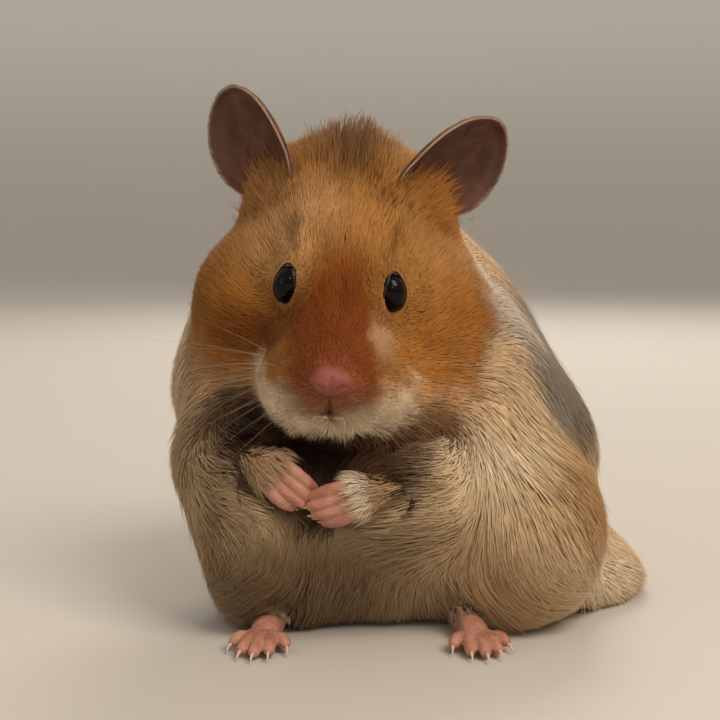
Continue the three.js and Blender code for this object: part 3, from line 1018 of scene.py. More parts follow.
# %% [markdown]
# ## Bare skin
# The nose, paws, feet and tail are bare and pink, with a net of fine creases. A little light passes into
# such skin and comes out again near by, so the shader has some subsurface. The creases are the borders
# between the cells of a Voronoi texture, used for the colour and the bump alike.

# %% Bare skin
BARE_SHADER = {
    "Roughness": 0.48,
    "Specular IOR Level": 0.35,
    "Subsurface Weight": 0.15,
    "Subsurface Scale": 0.001,
}


def bare_material(name, deep, light, crease_scale, crease_depth):
    """Bare pink skin: two close colours in soft blotches, and a net of fine creases."""
    material, tree, shader = new_material(name, BARE_SHADER)
    place = object_place(tree)
    blotches = noise(tree, place, 420.0, 2.0).outputs["Fac"]
    colour = mix_colours(tree, between(tree, blotches, 0.3, 0.7), linear(deep), linear(light))
    voronoi = {"Vector": place, "Scale": crease_scale, "Randomness": 0.9}
    creases = add(tree, "TexVoronoi", {"feature": "DISTANCE_TO_EDGE"}, voronoi).outputs["Distance"]
    height = between(tree, creases, 0.0, 0.3)
    colour = mix_colours(tree, between(tree, creases, 0.0, 0.12, 0.16, 0.0), colour, linear("8a4536"))
    tree.links.new(colour, shader.inputs["Base Color"])
    bump = add(tree, "Bump", None, {"Height": height, "Distance": crease_depth, "Strength": 0.5})
    tree.links.new(bump.outputs[0], shader.inputs["Normal"])
    return material


nose_skin = bare_material("nose skin", "80433a", "99594a", 2600.0, 0.00004)
paw_skin = bare_material("paw skin", "a86c57", "c28b76", 1500.0, 0.00006)
print("bare skins:", nose_skin.name, "and", paw_skin.name)

# %% [markdown]
# ## The nose
# A small bare pad in two lobes, with a groove down its middle and a comma-shaped nostril at each side. It
# could be sculpted by hand. Here the points of a ball are pressed in or out by a few smooth bumps, which
# keep both sides exactly alike.

# %% Nose pad
NOSE_HALF_MM = np.array([2.8, 1.8, 2.0])
nose = add_ball("nose_pad", np.zeros(3), 1.0, 64, 48)
ball = places_of(nose)
x, y, z = ball.T
groove = np.exp(-((x / 0.11) ** 2)) * step(y, -0.2, 0.5) * step(z, 0.85, 0.1)
comma = ((np.abs(x) - 0.60 - 0.18 * z) / 0.19) ** 2 + ((z + 0.26) / 0.22) ** 2
nostril = np.exp(-comma) * step(y, 0.0, 0.4)
lobes = 0.12 * np.exp(-(((np.abs(x) - 0.42) / 0.3) ** 2) - ((z - 0.05) / 0.5) ** 2) * step(y, 0.0, 0.6)
ball *= (1 - 0.22 * groove - 0.42 * nostril + lobes)[:, None]
ball[:, 0] *= 1 - 0.30 * step(-z, 0.1, 1.0)
set_places(nose, from_head(ball * NOSE_HALF_MM + NOSE_IN_HEAD_MM))


turn_outwards(nose)
nose.data.materials.append(nose_skin)
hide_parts("nose")
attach(nose, "root")
print("nose pad:", len(nose.data.polygons), "faces")

# %% [markdown]
# ## Paws and feet
# A hamster's forepaw is a small cushioned hand with four fingers, held half closed. Its hind foot is
# longer, with five toes, and lies flat. Each finger is a curved rod that tapers to a round tip. The fingers
# and the palm are joined and remeshed finely, so that the creases between the fingers stay. The claws are
# separate.


# %% Rods, claws and stretched balls
def curve_through(points, count):
    """A smooth path of count places through three control points."""
    t = np.linspace(0, 1, count)[:, None]
    a, b, c = (np.asarray(p, float) for p in points)
    return a * (1 - t) ** 2 + b * 2 * t * (1 - t) + c * t * t


def rounded_rod(name, points, start_radius, end_radius, swell=0.0, count=14):
    """A rod along a curve with round ends, a little thicker in the middle by the share swell."""
    path = curve_through(points, count)
    t = np.linspace(0, 1, count)
    radii = start_radius + (end_radius - start_radius) * t
    radii *= 1 + swell * np.sin(np.pi * t)
    length = np.sum(np.linalg.norm(np.diff(path, axis=0), axis=1))
    cap = np.clip((1 - t) * length / end_radius, 0, 1)
    radii *= np.sqrt(np.clip(1 - (1 - cap) ** 2, 0.02, 1))
    return tube(name, path, radii, 12)


def claw(path, root_mm, tip_mm):
    """A tapered tube along a curve through three places."""
    return tube("claw", curve_through(path, 7), np.linspace(root_mm, tip_mm, 7) * MM, 8)


def stretched_ball(name, centre, half_widths, axes):
    ball = add_ball(name, np.zeros(3), 1.0, 24, 16)
    set_places(ball, places_of(ball) * half_widths @ np.asarray(axes) + centre)
    turn_outwards(ball)
    return ball


print("the middle of a curve:", curve_through([(0, 0, 0), (1, 1, 0), (2, 0, 0)], 3)[1])

# %% Joining and finishing
PAW_VOXEL = 0.17 * MM
claw_shader = {"Roughness": 0.3, "Specular IOR Level": 0.5}
claw_material = two_tone_material("claw", claw_shader, "c9a08c", "e6cdbd", 900.0)


def join_parts(name, parts):
    deselect_all()
    for part in parts:
        part.select_set(True)
    bpy.context.view_layer.objects.active = parts[0]
    bpy.ops.object.join()
    parts[0].name = name
    return parts[0]


def fuse(name, parts, voxel):
    """Joins parts and turns them into one closed skin."""
    fused = join_parts(name, parts)
    apply_modifier(fused, "REMESH", mode="VOXEL", voxel_size=voxel)
    apply_modifier(fused, "SMOOTH", factor=0.5, iterations=2)
    return fused


def finish_bare(obj, slot, material, *nodes):
    activate(obj)
    bpy.ops.object.shade_smooth()
    obj.data.materials.append(material)
    if nodes:
        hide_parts(*nodes)
    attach(obj, "root")


print("paws are remeshed at", PAW_VOXEL, "metres")

# %% [markdown]
# ## The forepaws
# The animal holds its forepaws together at its mouth, fingers inwards and curled. Each paw has its own
# axes: along the fingers, up through the stack of them, and out of its back. The forearm is a rod from the
# elbow to the palm, which lies inside the fur for most of its length.

# %% Where the forepaws are
FINGER_REACH_MM = (5.3, 6.1, 5.9, 4.7)
FINGER_GAP_MM = 1.72
FINGER_RADII_MM = (1.02, 0.72)
FOREARMS_MM = {
    "left": (np.array([7.3, -24.0, 23.0]), np.array([-5.4, -34.5, 23.3])),
    "right": (np.array([-30.7, -21.0, 27.0]), np.array([-22.6, -33.5, 26.5])),
}
FOREPAWS = {
    # side: (wrist in packed millimetres, the way the fingers point, the way they are stacked)
    "left": ((-8.2, -36.2, 24.0), (-0.95, -0.10, -0.30), (-0.30, 0.0, 0.95)),
    "right": ((-22.0, -35.0, 27.8), (0.76, -0.12, -0.64), (0.64, 0.0, 0.76)),
}


def paw_axes(pointing, above):
    along = unit(np.array(pointing, float))
    up = unit(np.array(above, float) - along * (along @ np.array(above)))
    front = np.cross(along, up)
    front *= -np.sign(front[1])
    return np.array([along, up, front])


for side, (wrist, pointing, above) in FOREPAWS.items():
    print(side, "forepaw faces", paw_axes(pointing, above)[2].round(2))

# %% Forepaws
paws = {}
for side, (wrist, pointing, above) in FOREPAWS.items():
    axes = paw_axes(pointing, above)

    def at(along, up, front):
        return (np.array(wrist) + np.array([along, up, front]) @ axes) * MM

    palm = stretched_ball("palm", at(1.2, 0, -0.5), np.array([3.3, 3.3, 1.9]) * MM, axes)
    elbow = FOREARMS_MM[side][0] * MM
    middle = (elbow + at(-2.0, 0, -2.0)) / 2
    forearm = rounded_rod("forearm", [elbow, middle, at(1.5, 0, -0.9)], 3.6 * MM, 2.6 * MM)
    parts, claws = [palm, forearm], []
    for n, reach in enumerate(FINGER_REACH_MM):
        up = (1.5 - n) * FINGER_GAP_MM
        tip = at(2.0 + reach, up * 0.80, -1.5)
        bend = at(2.2 + reach * 0.62, up * 0.98, 1.25)
        start, end = (r * MM for r in FINGER_RADII_MM)
        parts.append(rounded_rod("finger", [at(1.4, up * 0.86, 0.25), bend, tip], start, end, 0.10))
        claw_root, claw_bend = at(1.75 + reach, up * 0.8, -1.05), at(2.5 + reach, up * 0.8, -1.2)
        claws.append(claw([claw_root, claw_bend, at(2.7 + reach, up * 0.78, -2.3)], 0.26, 0.04))
    paw = fuse(f"paw_skin_{side}", parts, PAW_VOXEL)
    finish_bare(paw, "bare_skin", paw_skin, f"forepaw_{side}")
    finish_bare(join_parts(f"claws_forepaw_{side}", claws), "bare_skin", claw_material)
    paws[side] = paw
    print(paw.name, len(paw.data.polygons), "faces")

# %% [markdown]
# ## The hind feet
# A sitting hamster rests on its long soles, with five toes spread in front of the body. The middle toe
# reaches furthest. The toes are rods that rise over a knuckle, and the sole is pressed flat at the level of
# the floor.

# %% Hind feet
FOOT_LENGTH_MM = 19.0
BALL_AT_MM = 10.5
HIND_HEELS = {"left": ((7.8, -23.0), math.radians(8)), "right": ((-21.7, -23.0), math.radians(-8))}
feet = {}
for side, (heel, splay) in HIND_HEELS.items():
    ahead = np.array([math.sin(splay), -math.cos(splay), 0.0])
    aside = np.array([math.cos(splay), math.sin(splay), 0.0])

    def at(along, across, up):
        return (np.array([*heel, 0.0]) + ahead * along + aside * across + [0, 0, up]) * MM

    sole_axes = np.array([ahead, aside, [0, 0, 1]])
    parts = [
        rounded_rod("sole", [at(0, 0, 2.1), at(5, 0, 1.9), at(11, 0, 1.6)], 2.1 * MM, 2.4 * MM),
        stretched_ball("ball", at(BALL_AT_MM, 0, 1.5), np.array([3.0, 3.5, 1.5]) * MM, sole_axes),
    ]
    claws = []
    for n in (-2, -1, 0, 1, 2):
        reach = FOOT_LENGTH_MM - 0.8 - 1.1 * n * n
        knuckle = at(0.5 * (BALL_AT_MM + reach), n * 1.75, 2.3)
        toe_path = [at(BALL_AT_MM, n * 1.25, 1.5), knuckle, at(reach - 0.7, n * 2.15, 0.95)]
        parts.append(rounded_rod("toe", toe_path, 1.15 * MM, 0.82 * MM, 0.1))
        claw_root, claw_bend = at(reach - 0.7, n * 2.1, 1.3), at(reach + 0.6, n * 2.25, 1.25)
        claws.append(claw([claw_root, claw_bend, at(reach + 1.0, n * 2.3, 0.3)], 0.30, 0.05))
    foot = fuse(f"foot_skin_{side}", parts, PAW_VOXEL * 1.2)
    flat = places_of(foot)
    flat[:, 2] = np.maximum(flat[:, 2], 0.0)
    set_places(foot, flat)
    finish_bare(foot, "bare_skin", paw_skin, f"hind_foot_{side}")
    finish_bare(join_parts(f"claws_foot_{side}", claws), "bare_skin", claw_material)
    feet[side] = foot
    print(foot.name, len(foot.data.polygons), "faces")

# %% [markdown]
# ## The tail
# A hamster's tail is a short bare stub, half hidden in the fur of the rump. One tapered rod is enough for
# it.

# %% The tail
low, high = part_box("tail")
tail_path = [
    Vector((low.x + 3.0 * MM, low.y - 3.0 * MM, 6.5 * MM)),
    Vector(((low.x + high.x) / 2, (low.y + high.y) / 2, 3.4 * MM)),
    Vector((high.x - 2.0 * MM, high.y - 1.2 * MM, 1.6 * MM)),
]
tail = rounded_rod("tail_skin", tail_path, 2.3 * MM, 1.0 * MM, 0.0, 28)
finish_bare(tail, "bare_skin", paw_skin, "tail")
print("tail:", len(tail.data.polygons), "faces")

# %% [markdown]
# ## The ears
# Each ear is a thin upright cup of skin that opens forwards and outwards. It is widest above its middle,
# rolls in towards a narrow base, and has a low ridge or two inside. A flat grid is rounded to that outline,
# hollowed, and given its thin wall last.

# %% Shape of an ear
EAR_LENGTH_MM = 22.0
EAR_WIDTH_MM = 15.5
EAR_CUP_MM = 3.6
EAR_WALL_MM = 0.32
EAR_BASE_SPREAD = {"left": 0.8, "right": 0.25}
EAR_FACING = math.radians(35)
EAR_BASES_MM = {"left": np.array([10.3, -8.5, 7.4]), "right": np.array([11.5, -8.5, 7.2])}
EAR_LEANS = {"left": math.radians(33), "right": math.radians(21)}


def ear_axes(side):
    """The ear's own axes in the head's frame on the left side: across, through and up."""
    c, s = math.cos(EAR_FACING), math.sin(EAR_FACING)
    facing = np.array([[c, -s, 0], [s, c, 0], [0, 0, 1]])
    c, s = math.cos(EAR_LEANS[side]), math.sin(EAR_LEANS[side])
    leaning = np.array([[c, 0, -s], [0, 1, 0], [s, 0, c]])
    return facing @ leaning


print("left ear points along", (ear_axes("left")[2] @ HEAD_AXES).round(2))


# %% Into an ear's frame, and back
def from_ear(shape, side):
    """Places in an ear's own millimetres as metres."""
    in_head = shape @ ear_axes(side) + EAR_BASES_MM[side]
    return from_head(in_head * [SIDES[side], 1, 1])


def in_ear(places, side):
    """Metres as shares of an ear: across and up from -1 to 1, and the millimetres through it."""
    shape = (to_head(places) * [SIDES[side], 1, 1] - EAR_BASES_MM[side]) @ ear_axes(side).T
    up = np.clip(2 * shape[:, 2] / EAR_LENGTH_MM - 1, -1, 1)
    return shape[:, 0] / ear_half_width_mm(np.sign(shape[:, 0]), up, side), shape[:, 1], up


def ear_half_width_mm(across, up, side):
    """Half the width of an ear at a height. The side towards the crown is broad at the base."""
    low = np.maximum(-up, 0)
    inner = step(-across, 0.0, 0.6) * (0.45 + 0.9 * low * (1 - low)) * EAR_BASE_SPREAD[side]
    return (1 - 0.15 * low - 0.08 * np.maximum(up, 0) + inner) * EAR_WIDTH_MM / 2


print("left ear's tip is at", from_ear(np.array([[0, 0, EAR_LENGTH_MM]]), "left").round(4))


# %% The hollow of an ear
def ear_hollow(across, up):
    """How far forwards the wall of the ear stands, in millimetres: its edges, rim and inner ridges."""
    hollow = EAR_CUP_MM * (across**2 * (1 + 0.5 * np.maximum(-up, 0)) + 0.45 * np.maximum(up, 0) ** 2)
    edge = np.hypot(across, up)
    rim = 0.55 * step(edge, 0.86, 1.0) * step(up, -0.9, -0.3)
    ridge = 0.55 * np.exp(-(((across - 0.30 + 0.2 * up) / 0.12) ** 2)) * step(up, 0.45, -0.35)
    ridge += 0.40 * np.exp(-(((across + 0.38) / 0.10) ** 2)) * step(up, 0.1, -0.5)
    return hollow - EAR_CUP_MM / 2 + rim + ridge


print("the rim stands", (ear_hollow(0.0, 1.0) - ear_hollow(0.0, 0.0)).round(2), "mm before the middle")

# %% [markdown]
# ## The skin of an ear
# A hamster's ear is thin and almost bare: brown skin inside, redder towards the base, paler at the very
# edge. The places of those tones belong to the shape of the ear, so each ear stores them as attributes of
# its points, which the material reads.

# %% Ear skin
ear_material, tree, shader = new_material("ear skin", {**BARE_SHADER, "Roughness": 0.6})
place = object_place(tree)
mottled = noise(tree, place, 240.0, 3.0).outputs["Fac"]
colour = mix_colours(tree, between(tree, mottled, 0.35, 0.65), linear("50301f"), linear("664234"))
colour = mix_colours(tree, attribute(tree, "towards_base"), colour, linear("6f3623"))
colour = mix_colours(tree, attribute(tree, "towards_rim"), colour, linear("75574c"))
colour = mix_colours(tree, attribute(tree, "edge"), colour, linear("b49a88"))
tree.links.new(colour, shader.inputs["Base Color"])
veins = noise(tree, place, 900.0, 4.0).outputs["Fac"]
bump = add(tree, "Bump", None, {"Height": veins, "Distance": 0.0002, "Strength": 0.35})
tree.links.new(bump.outputs[0], shader.inputs["Normal"])


def set_attribute(mesh, name, values, kind="FLOAT", key="value"):
    """Stores a value, or a vector, at each point of a mesh."""
    made = mesh.attributes.new(name, kind, "POINT")
    made.data.foreach_set(key, np.ascontiguousarray(values, np.float32).ravel())


print("ear skin:", len(tree.nodes), "nodes")

# %% Ears
EAR_COLUMNS, EAR_ROWS = 44, 56
ears = {}
for side in SIDES:
    deselect_all()
    bpy.ops.mesh.primitive_grid_add(x_subdivisions=EAR_COLUMNS, y_subdivisions=EAR_ROWS, size=2)
    ear = bpy.context.active_object
    ear.name = f"ear_skin_{side}"
    a, b, _ = places_of(ear).T
    across = a * np.sqrt(1 - b * b / 2)
    up = b * np.sqrt(1 - a * a / 2)
    width = across * ear_half_width_mm(across, up, side)
    shape = np.column_stack([width, ear_hollow(across, up), (up + 1) * EAR_LENGTH_MM / 2])
    set_places(ear, from_ear(shape, side))
    set_attribute(ear.data, "towards_base", 0.9 * step(up, 0.2, -0.6))
    set_attribute(ear.data, "towards_rim", 0.7 * step(across, 0.35, 0.95))
    set_attribute(ear.data, "edge", 0.8 * step(np.hypot(across, up), 0.975, 1.0) * step(up, -0.8, -0.4))
    turn_outwards(ear)
    apply_modifier(ear, "SOLIDIFY", thickness=EAR_WALL_MM * MM, offset=0.0)
    apply_modifier(ear, "BEVEL", width=0.10 * MM, segments=2)
    finish_bare(ear, "ear_skin", ear_material, f"ear_{side}")
    ears[side] = ear
    print(ear.name, len(ear.data.polygons), "faces")

# %% [markdown]
# ## How the coat lies
# Fur grows away from the nose over the head, and from the neck down to the rump and feet. On each forearm
# it runs to the wrist. A field gives that direction anywhere, and other fields give the length of the hair,
# and how close the tufts are. Noise bends the field a little, so that neighbours meet in locks as real fur
# does.


# %% Nearness to a forearm, and directions along the skin
def near_forearm(places_mm, side):
    """How close places are to a forearm, from 0 to 1, and how far along it they are."""
    elbow, wrist = FOREARMS_MM[side]
    axis = wrist - elbow
    along = np.clip((places_mm - elbow) @ axis / (axis @ axis), 0, 1.2)
    gap = np.linalg.norm(places_mm - elbow - along[:, None] * axis, axis=1)
    return step(gap, 13 - 5 * along, 8 - 4 * along) * step(along, 0.05, 0.35), along


def along_skin(ways, normals):
    """Directions with what points into or out of the skin taken away."""
    return unit(ways - normals * np.sum(ways * normals, axis=1, keepdims=True))


skin_places = places_of(skin)
arm_share, _ = near_forearm(skin_places / MM, "left")
print("points on the left forearm:", int(np.sum(arm_share > 0.5)))


# %% The lie of the coat on the head, and on the body
def lie_on_head(in_head):
    """Away from the nose, up over the crown, and outwards round each eye."""
    away = unit(in_head - [0, 31, -5])
    away[:, 2] += 0.30 * step(in_head[:, 2], 6, 14) * step(np.abs(in_head[:, 0]), 9, 4)
    away[:, 0] += 0.35 * np.sign(in_head[:, 0]) * step(in_head[:, 2], 0, -9)
    for mirror in (1, -1):
        from_eye = in_head - EYE_MM * [mirror, 1, 1]
        distance = np.linalg.norm(from_eye, axis=1)
        away += 2.2 * unit(from_eye) * step(distance, 7.5, 3.4)[:, None]
    return unit(away) @ HEAD_AXES


def lie_on_body(places_mm):
    """Down the trunk, outwards over the haunches, and along each forearm to its wrist."""
    side_lean = 0.014 * (places_mm[:, 0] + 3)
    down = np.column_stack([side_lean, 0.30 + 0.010 * places_mm[:, 1], np.full(len(places_mm), -1.0)])
    low = step(places_mm[:, 2], 22, 4)
    down[:, 0] += 0.9 * low * np.sign(places_mm[:, 0] + 8) * step(np.abs(places_mm[:, 0] + 8), 6, 22)
    down[:, 2] *= 1 - 0.55 * low
    body_way = unit(down)
    for side in SIDES:
        elbow, wrist = FOREARMS_MM[side]
        share, _ = near_forearm(places_mm, side)
        body_way += (unit(wrist - elbow) * 1.6 - body_way) * share[:, None]
    return unit(body_way)


print("hair under the chin lies along", lie_on_head(np.array([[0, 20.0, -20]])).round(2))

# %% The lie of the whole coat
SWIRLS = ((9.0, 0.18), (2.6, 0.15))


def lie_of_coat(places, normals):
    """The direction that the hair leans in, along the skin, with a few swirls."""
    in_head = to_head(places)
    places_mm = places / MM
    on_head = head_share(in_head)[:, None]
    way = lie_on_head(in_head) * on_head + lie_on_body(places_mm) * (1 - on_head)
    for size, strength in SWIRLS:
        swirl = [smooth_noise(places_mm, size, seed) for seed in (3, 5, 8)]
        way += strength * np.column_stack(swirl)
    return along_skin(way, normals)


print("mean lie of the coat:", lie_of_coat(skin_places, normals_of(skin)).mean(axis=0).round(2))


# %% How long the hair is
def hair_length_mm(places):
    in_head = to_head(places)
    on_head = head_share(in_head)
    from_nose = np.linalg.norm(in_head - NOSE_IN_HEAD_MM, axis=1)
    face = 0.8 + 2.2 * step(from_nose, 3, 20) + 2.8 * step(from_nose, 20, 38)
    face += 1.8 * step(np.abs(in_head[:, 0]), 14, 24) * step(in_head[:, 2], 8, 0)
    face = np.minimum(face, 0.9 + 2.5 * step(eye_gap_mm(in_head), 3.6, 9))
    body = np.full(len(places), 7.5)
    for side in SIDES:
        share, along = near_forearm(places / MM, side)
        body += (5.5 - 1.6 * along - body) * share
    body *= 1 - 0.25 * step(places[:, 2] / MM, 8, 1)
    length = body + (face - body) * on_head
    for side, mirror in SIDES.items():
        from_ear_base = np.linalg.norm(in_head * [mirror, 1, 1] - EAR_BASES_MM[side] - [-1, 4, -1], axis=1)
        length += (5.2 - length) * step(from_ear_base, 6.5, 3.0)
    from_chin = np.linalg.norm((in_head - [0, 25, -14]) / [1.4, 1, 1], axis=1)
    return np.minimum(length, 1.5 + 6 * step(from_chin, 5, 15))


skin_lengths = hair_length_mm(skin_places)
print("hair is", skin_lengths.min().round(1), "to", skin_lengths.max().round(1), "mm long")


# %% How close the tufts are, and where none grow
def tufts_per_mm2(places):
    in_head = to_head(places)
    on_head = head_share(in_head)
    face = 27 - 8 * step(in_head[:, 1], 8, -6)
    body = 10.8 * step(places[:, 2] / MM, 0.3, 2.5) + 0.4
    for side in SIDES:
        share, along = near_forearm(places / MM, side)
        body += 6 * share * along
    return body + (face - body) * on_head


def bare_places(places):
    """True where no hair grows: on the eyes, the nose, and the lines of the mouth."""
    in_head = to_head(places)
    cleft, lips = mouth_crease(in_head)
    bare = (cleft < CLEFT_WIDTH_MM) | (lips < LIPS_WIDTH_MM)
    bare |= np.linalg.norm((in_head - NOSE_IN_HEAD_MM) / (NOSE_HALF_MM + 0.1), axis=1) < 1
    for side in SIDES:
        local = in_eye(places, side)
        bare |= (np.linalg.norm(local, axis=1) < EYE_RADIUS_MM + 0.9) & (lid_reach(local) < 1.08)
    return bare


print("bare points of the skin:", int(bare_places(skin_places).sum()))

# %% [markdown]
# ## Roots
# Hair grows all over, at random but evenly. Each triangle of the skin gets a number of roots drawn for its
# area and the density there, each at a random spot in it. A particle system could do this too, but the
# roots have to become part of meshes here, so that the coat needs nothing else when the model is used
# elsewhere.


# %% Roots scattered over a mesh
def triangles_of(mesh):
    """The three vertices and the three loops of each triangle of a mesh."""
    mesh.calc_loop_triangles()
    corners = np.empty(len(mesh.loop_triangles) * 3, np.int32)
    loops = np.empty_like(corners)
    mesh.loop_triangles.foreach_get("vertices", corners)
    mesh.loop_triangles.foreach_get("loops", loops)
    return corners.reshape(-1, 3), loops.reshape(-1, 3)


def scatter(obj, per_mm2):
    """Random roots on a mesh: their places, normals and UV places, with a density that may vary."""
    corners, loops = triangles_of(obj.data)
    places, normals = places_of(obj), normals_of(obj)
    flat = np.empty(len(obj.data.loops) * 2, np.float32)
    obj.data.uv_layers[0].data.foreach_get("uv", flat)
    uv = flat.reshape(-1, 2)
    a, b, c = (places[corners[:, k]] for k in range(3))
    areas = np.linalg.norm(np.cross(b - a, c - a), axis=1) / 2 / MM**2
    number = rng.poisson(areas * per_mm2((a + b + c) / 3))
    chosen = np.repeat(np.arange(len(corners)), number)
    r1, r2 = rng.random(len(chosen)) ** 0.5, rng.random(len(chosen))
    weights = np.column_stack([1 - r1, r1 * (1 - r2), r1 * r2])[:, :, None]
    at = np.sum(places[corners[chosen]] * weights, axis=1)
    facing = unit(np.sum(normals[corners[chosen]] * weights, axis=1))
    return at, facing, np.sum(uv[loops[chosen]] * weights, axis=1)


def even(per_mm2):
    """The same density everywhere."""
    return lambda places: np.full(len(places), per_mm2)


def thin_out(scattered, keep):
    return [column[keep] for column in scattered]


def drawn(number, *limits):
    """For each pair of limits, random values between them."""
    return [rng.uniform(low, high, number) for low, high in limits]


print("the skin has", len(triangles_of(skin.data)[0]), "triangles for roots")

# %% [markdown]
# ## How a tuft lies
# A tuft leaves the skin at a slant, bends, and then runs along just above it, as combed fur does. Its tip
# is set over the nearest spot of the skin ahead, so that it follows the body's roundness. Tufts lean
# towards the tip of a leader near by, which gathers them in locks.

# %% Locks, and laying along the skin
BEND_AT = 0.40
BEND_RISE = 0.38


def gather_in_locks(roots, ways, lengths, share, pull):
    """Leans each tuft towards the tip of its lock's leader, so that tips meet."""
    count = max(1, int(len(roots) * share))
    leaders = rng.choice(len(roots), count, replace=False)
    tree = KDTree(count)
    for i, leader in enumerate(leaders):
        tree.insert(roots[leader], i)
    tree.balance()
    nearest = leaders[[tree.find(root)[1] for root in roots]]
    aim = roots[nearest] + ways[nearest] * lengths[nearest, None] - roots
    return unit(ways * lengths[:, None] * (1 - pull) + aim * pull)


def lay_on(surface, roots, normals, ways, lengths, heights):
    """The bend and tip of each tuft, held at a height over the surface that it lies along."""
    reach = roots + ways * lengths[:, None]
    found = [surface.find_nearest(place) for place in reach]
    under = np.array([tuple(hit[0]) for hit in found])
    facing = np.array([tuple(hit[1]) for hit in found])
    tips = under + facing * heights[:, None]
    middle = unit(normals + facing)
    bends = roots + (tips - roots) * BEND_AT
    bends += middle * (heights * BEND_RISE)[:, None]
    return bends, tips, middle, facing


print("a tuft bends at", BEND_AT, "of its length")

# %% [markdown]
# ## The shape of a tuft
# A tuft stands for a dozen hairs that lie together. It is a closed spindle: a point at the root, three
# points at the bend and a point at the tip, six triangles in all. Its normals are softened towards the
# skin's, so that light rolls over the coat and not over each tuft. Every mesh of tufts is filled from
# arrays in one go, because adding tufts one by one would take hours.

# %% Points, faces and soft normals
ROOT_DEPTH = 0.25 * MM
FLOOR_GAP = 0.04 * MM
POINTS = 5
PATCH = 0.0015
TUFT_FACES = np.array([(0, 1, 2), (0, 2, 3), (0, 3, 1), (4, 2, 1), (4, 3, 2), (4, 1, 3)])
TUFT_PATCH = np.array([(0, -1), (-1, 0), (0, 0.1), (1, 0), (0, 1)]) * PATCH
ALONG = np.array([0, BEND_AT, BEND_AT, BEND_AT, 1])


def tuft_shapes(roots, normals, bends, tips, bend_normals, tip_normals, widths):
    """The five points of each tuft, and the directions that they are lit from."""
    ahead = unit(tips - roots)
    beside = unit(np.cross(ahead, bend_normals))
    half = widths[:, None] / 2
    ring = [bends + beside * half, bends + bend_normals * half * 0.8, bends - beside * half]
    places = np.stack([roots - normals * ROOT_DEPTH, *ring, tips], axis=1)
    places[:, :, 2] = np.maximum(places[:, :, 2], FLOOR_GAP)
    sides = [bend_normals + 0.40 * beside, bend_normals, bend_normals - 0.40 * beside]
    soft = np.stack([normals, *sides, tip_normals + 0.25 * ahead], axis=1)
    return places.reshape(-1, 3), unit(soft).reshape(-1, 3)


print("a tuft has", POINTS, "points and", len(TUFT_FACES), "faces")


# %% Building tufts
def mesh_of_triangles(name, places, corners):
    """A mesh from its points and from three corners for each face, filled from arrays."""
    mesh = bpy.data.meshes.new(name)
    mesh.vertices.add(len(places))
    mesh.vertices.foreach_set("co", places.astype(np.float32).ravel())
    mesh.loops.add(len(corners))
    mesh.loops.foreach_set("vertex_index", corners.astype(np.int32))
    mesh.polygons.add(len(corners) // 3)
    mesh.polygons.foreach_set("loop_start", np.arange(0, len(corners), 3, dtype=np.int32))
    mesh.update(calc_edges=True)
    mesh.polygons.foreach_set("use_smooth", np.ones(len(corners) // 3, bool))
    return mesh


def build_tufts(name, roots, normals, uv, bends, tips, bend_normals, tip_normals, widths):
    """One mesh of tufts, with their attributes, their patches of the unwrap and their soft normals."""
    count = len(roots)
    places, soft = tuft_shapes(roots, normals, bends, tips, bend_normals, tip_normals, widths)
    corners = (np.arange(count)[:, None, None] * POINTS + TUFT_FACES[None]).reshape(-1)
    mesh = mesh_of_triangles(name, places, corners)
    lock_shade = 0.5 + 0.32 * smooth_noise(roots / MM, 1.7, 11) + rng.uniform(-0.3, 0.3, count)
    set_attribute(mesh, "along", np.tile(ALONG, count))
    set_attribute(mesh, "shade", np.repeat(np.clip(lock_shade, 0, 1), POINTS))
    set_attribute(mesh, "root", np.repeat(roots, POINTS, axis=0), "FLOAT_VECTOR", "vector")
    tuft_uv = (uv[:, None] + TUFT_PATCH[None]).reshape(-1, 2)[corners]
    mesh.uv_layers.new(name="OFBake").data.foreach_set("uv", tuft_uv.astype(np.float32).ravel())
    mesh.normals_split_custom_set_from_vertices(soft)
    obj = bpy.data.objects.new(name, mesh)
    bpy.context.collection.objects.link(obj)
    return obj


print("a tuft's patch of the unwrap is", 2 * PATCH, "wide")

# %% [markdown]
# ## Growing fur on a surface
# Every kind of lying fur is grown in the same way, from its roots, its directions, and the lengths, heights
# and widths of its tufts. A piece that would be too heavy is dealt out into several of the same name and a
# number.

# %% Growing
MOST_TRIANGLES = 190_000
counted = []


def finish_coat(obj, material):
    obj.data.materials.append(material)
    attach(obj, "root")
    counted.append(len(obj.data.polygons))
    print(obj.name, len(obj.data.polygons), "triangles")


def surface_of(obj):
    """A search tree that finds the nearest spot of a mesh."""
    return BVHTree.FromPolygons([v.co for v in obj.data.vertices], triangles_of(obj.data)[0].tolist())


def grow(name, surface, scattered, ways, lengths_mm, heights_mm, widths_mm, locks, slot, material):
    """Tufts with their roots where scattered, in as many pieces as keep each one light."""
    roots, normals, uv = scattered
    lengths, heights, widths = lengths_mm * MM, heights_mm * MM, widths_mm * MM
    if locks:
        ways = gather_in_locks(roots, ways, lengths, *locks)
    ways = along_skin(ways + rng.normal(0, 0.08, ways.shape), normals)
    bends, tips, bend_normals, tip_normals = lay_on(surface, roots, normals, ways, lengths, heights)
    parts = math.ceil(len(roots) * len(TUFT_FACES) / MOST_TRIANGLES)
    columns = (roots, normals, uv, bends, tips, bend_normals, tip_normals, widths)
    for i in range(parts):
        label = name if parts == 1 else f"{name}_{i + 1}"
        made = build_tufts(label, *[column[i::parts] for column in columns])
        finish_coat(made, material)


skin_surface = surface_of(skin)
print("a piece holds up to", MOST_TRIANGLES, "triangles")

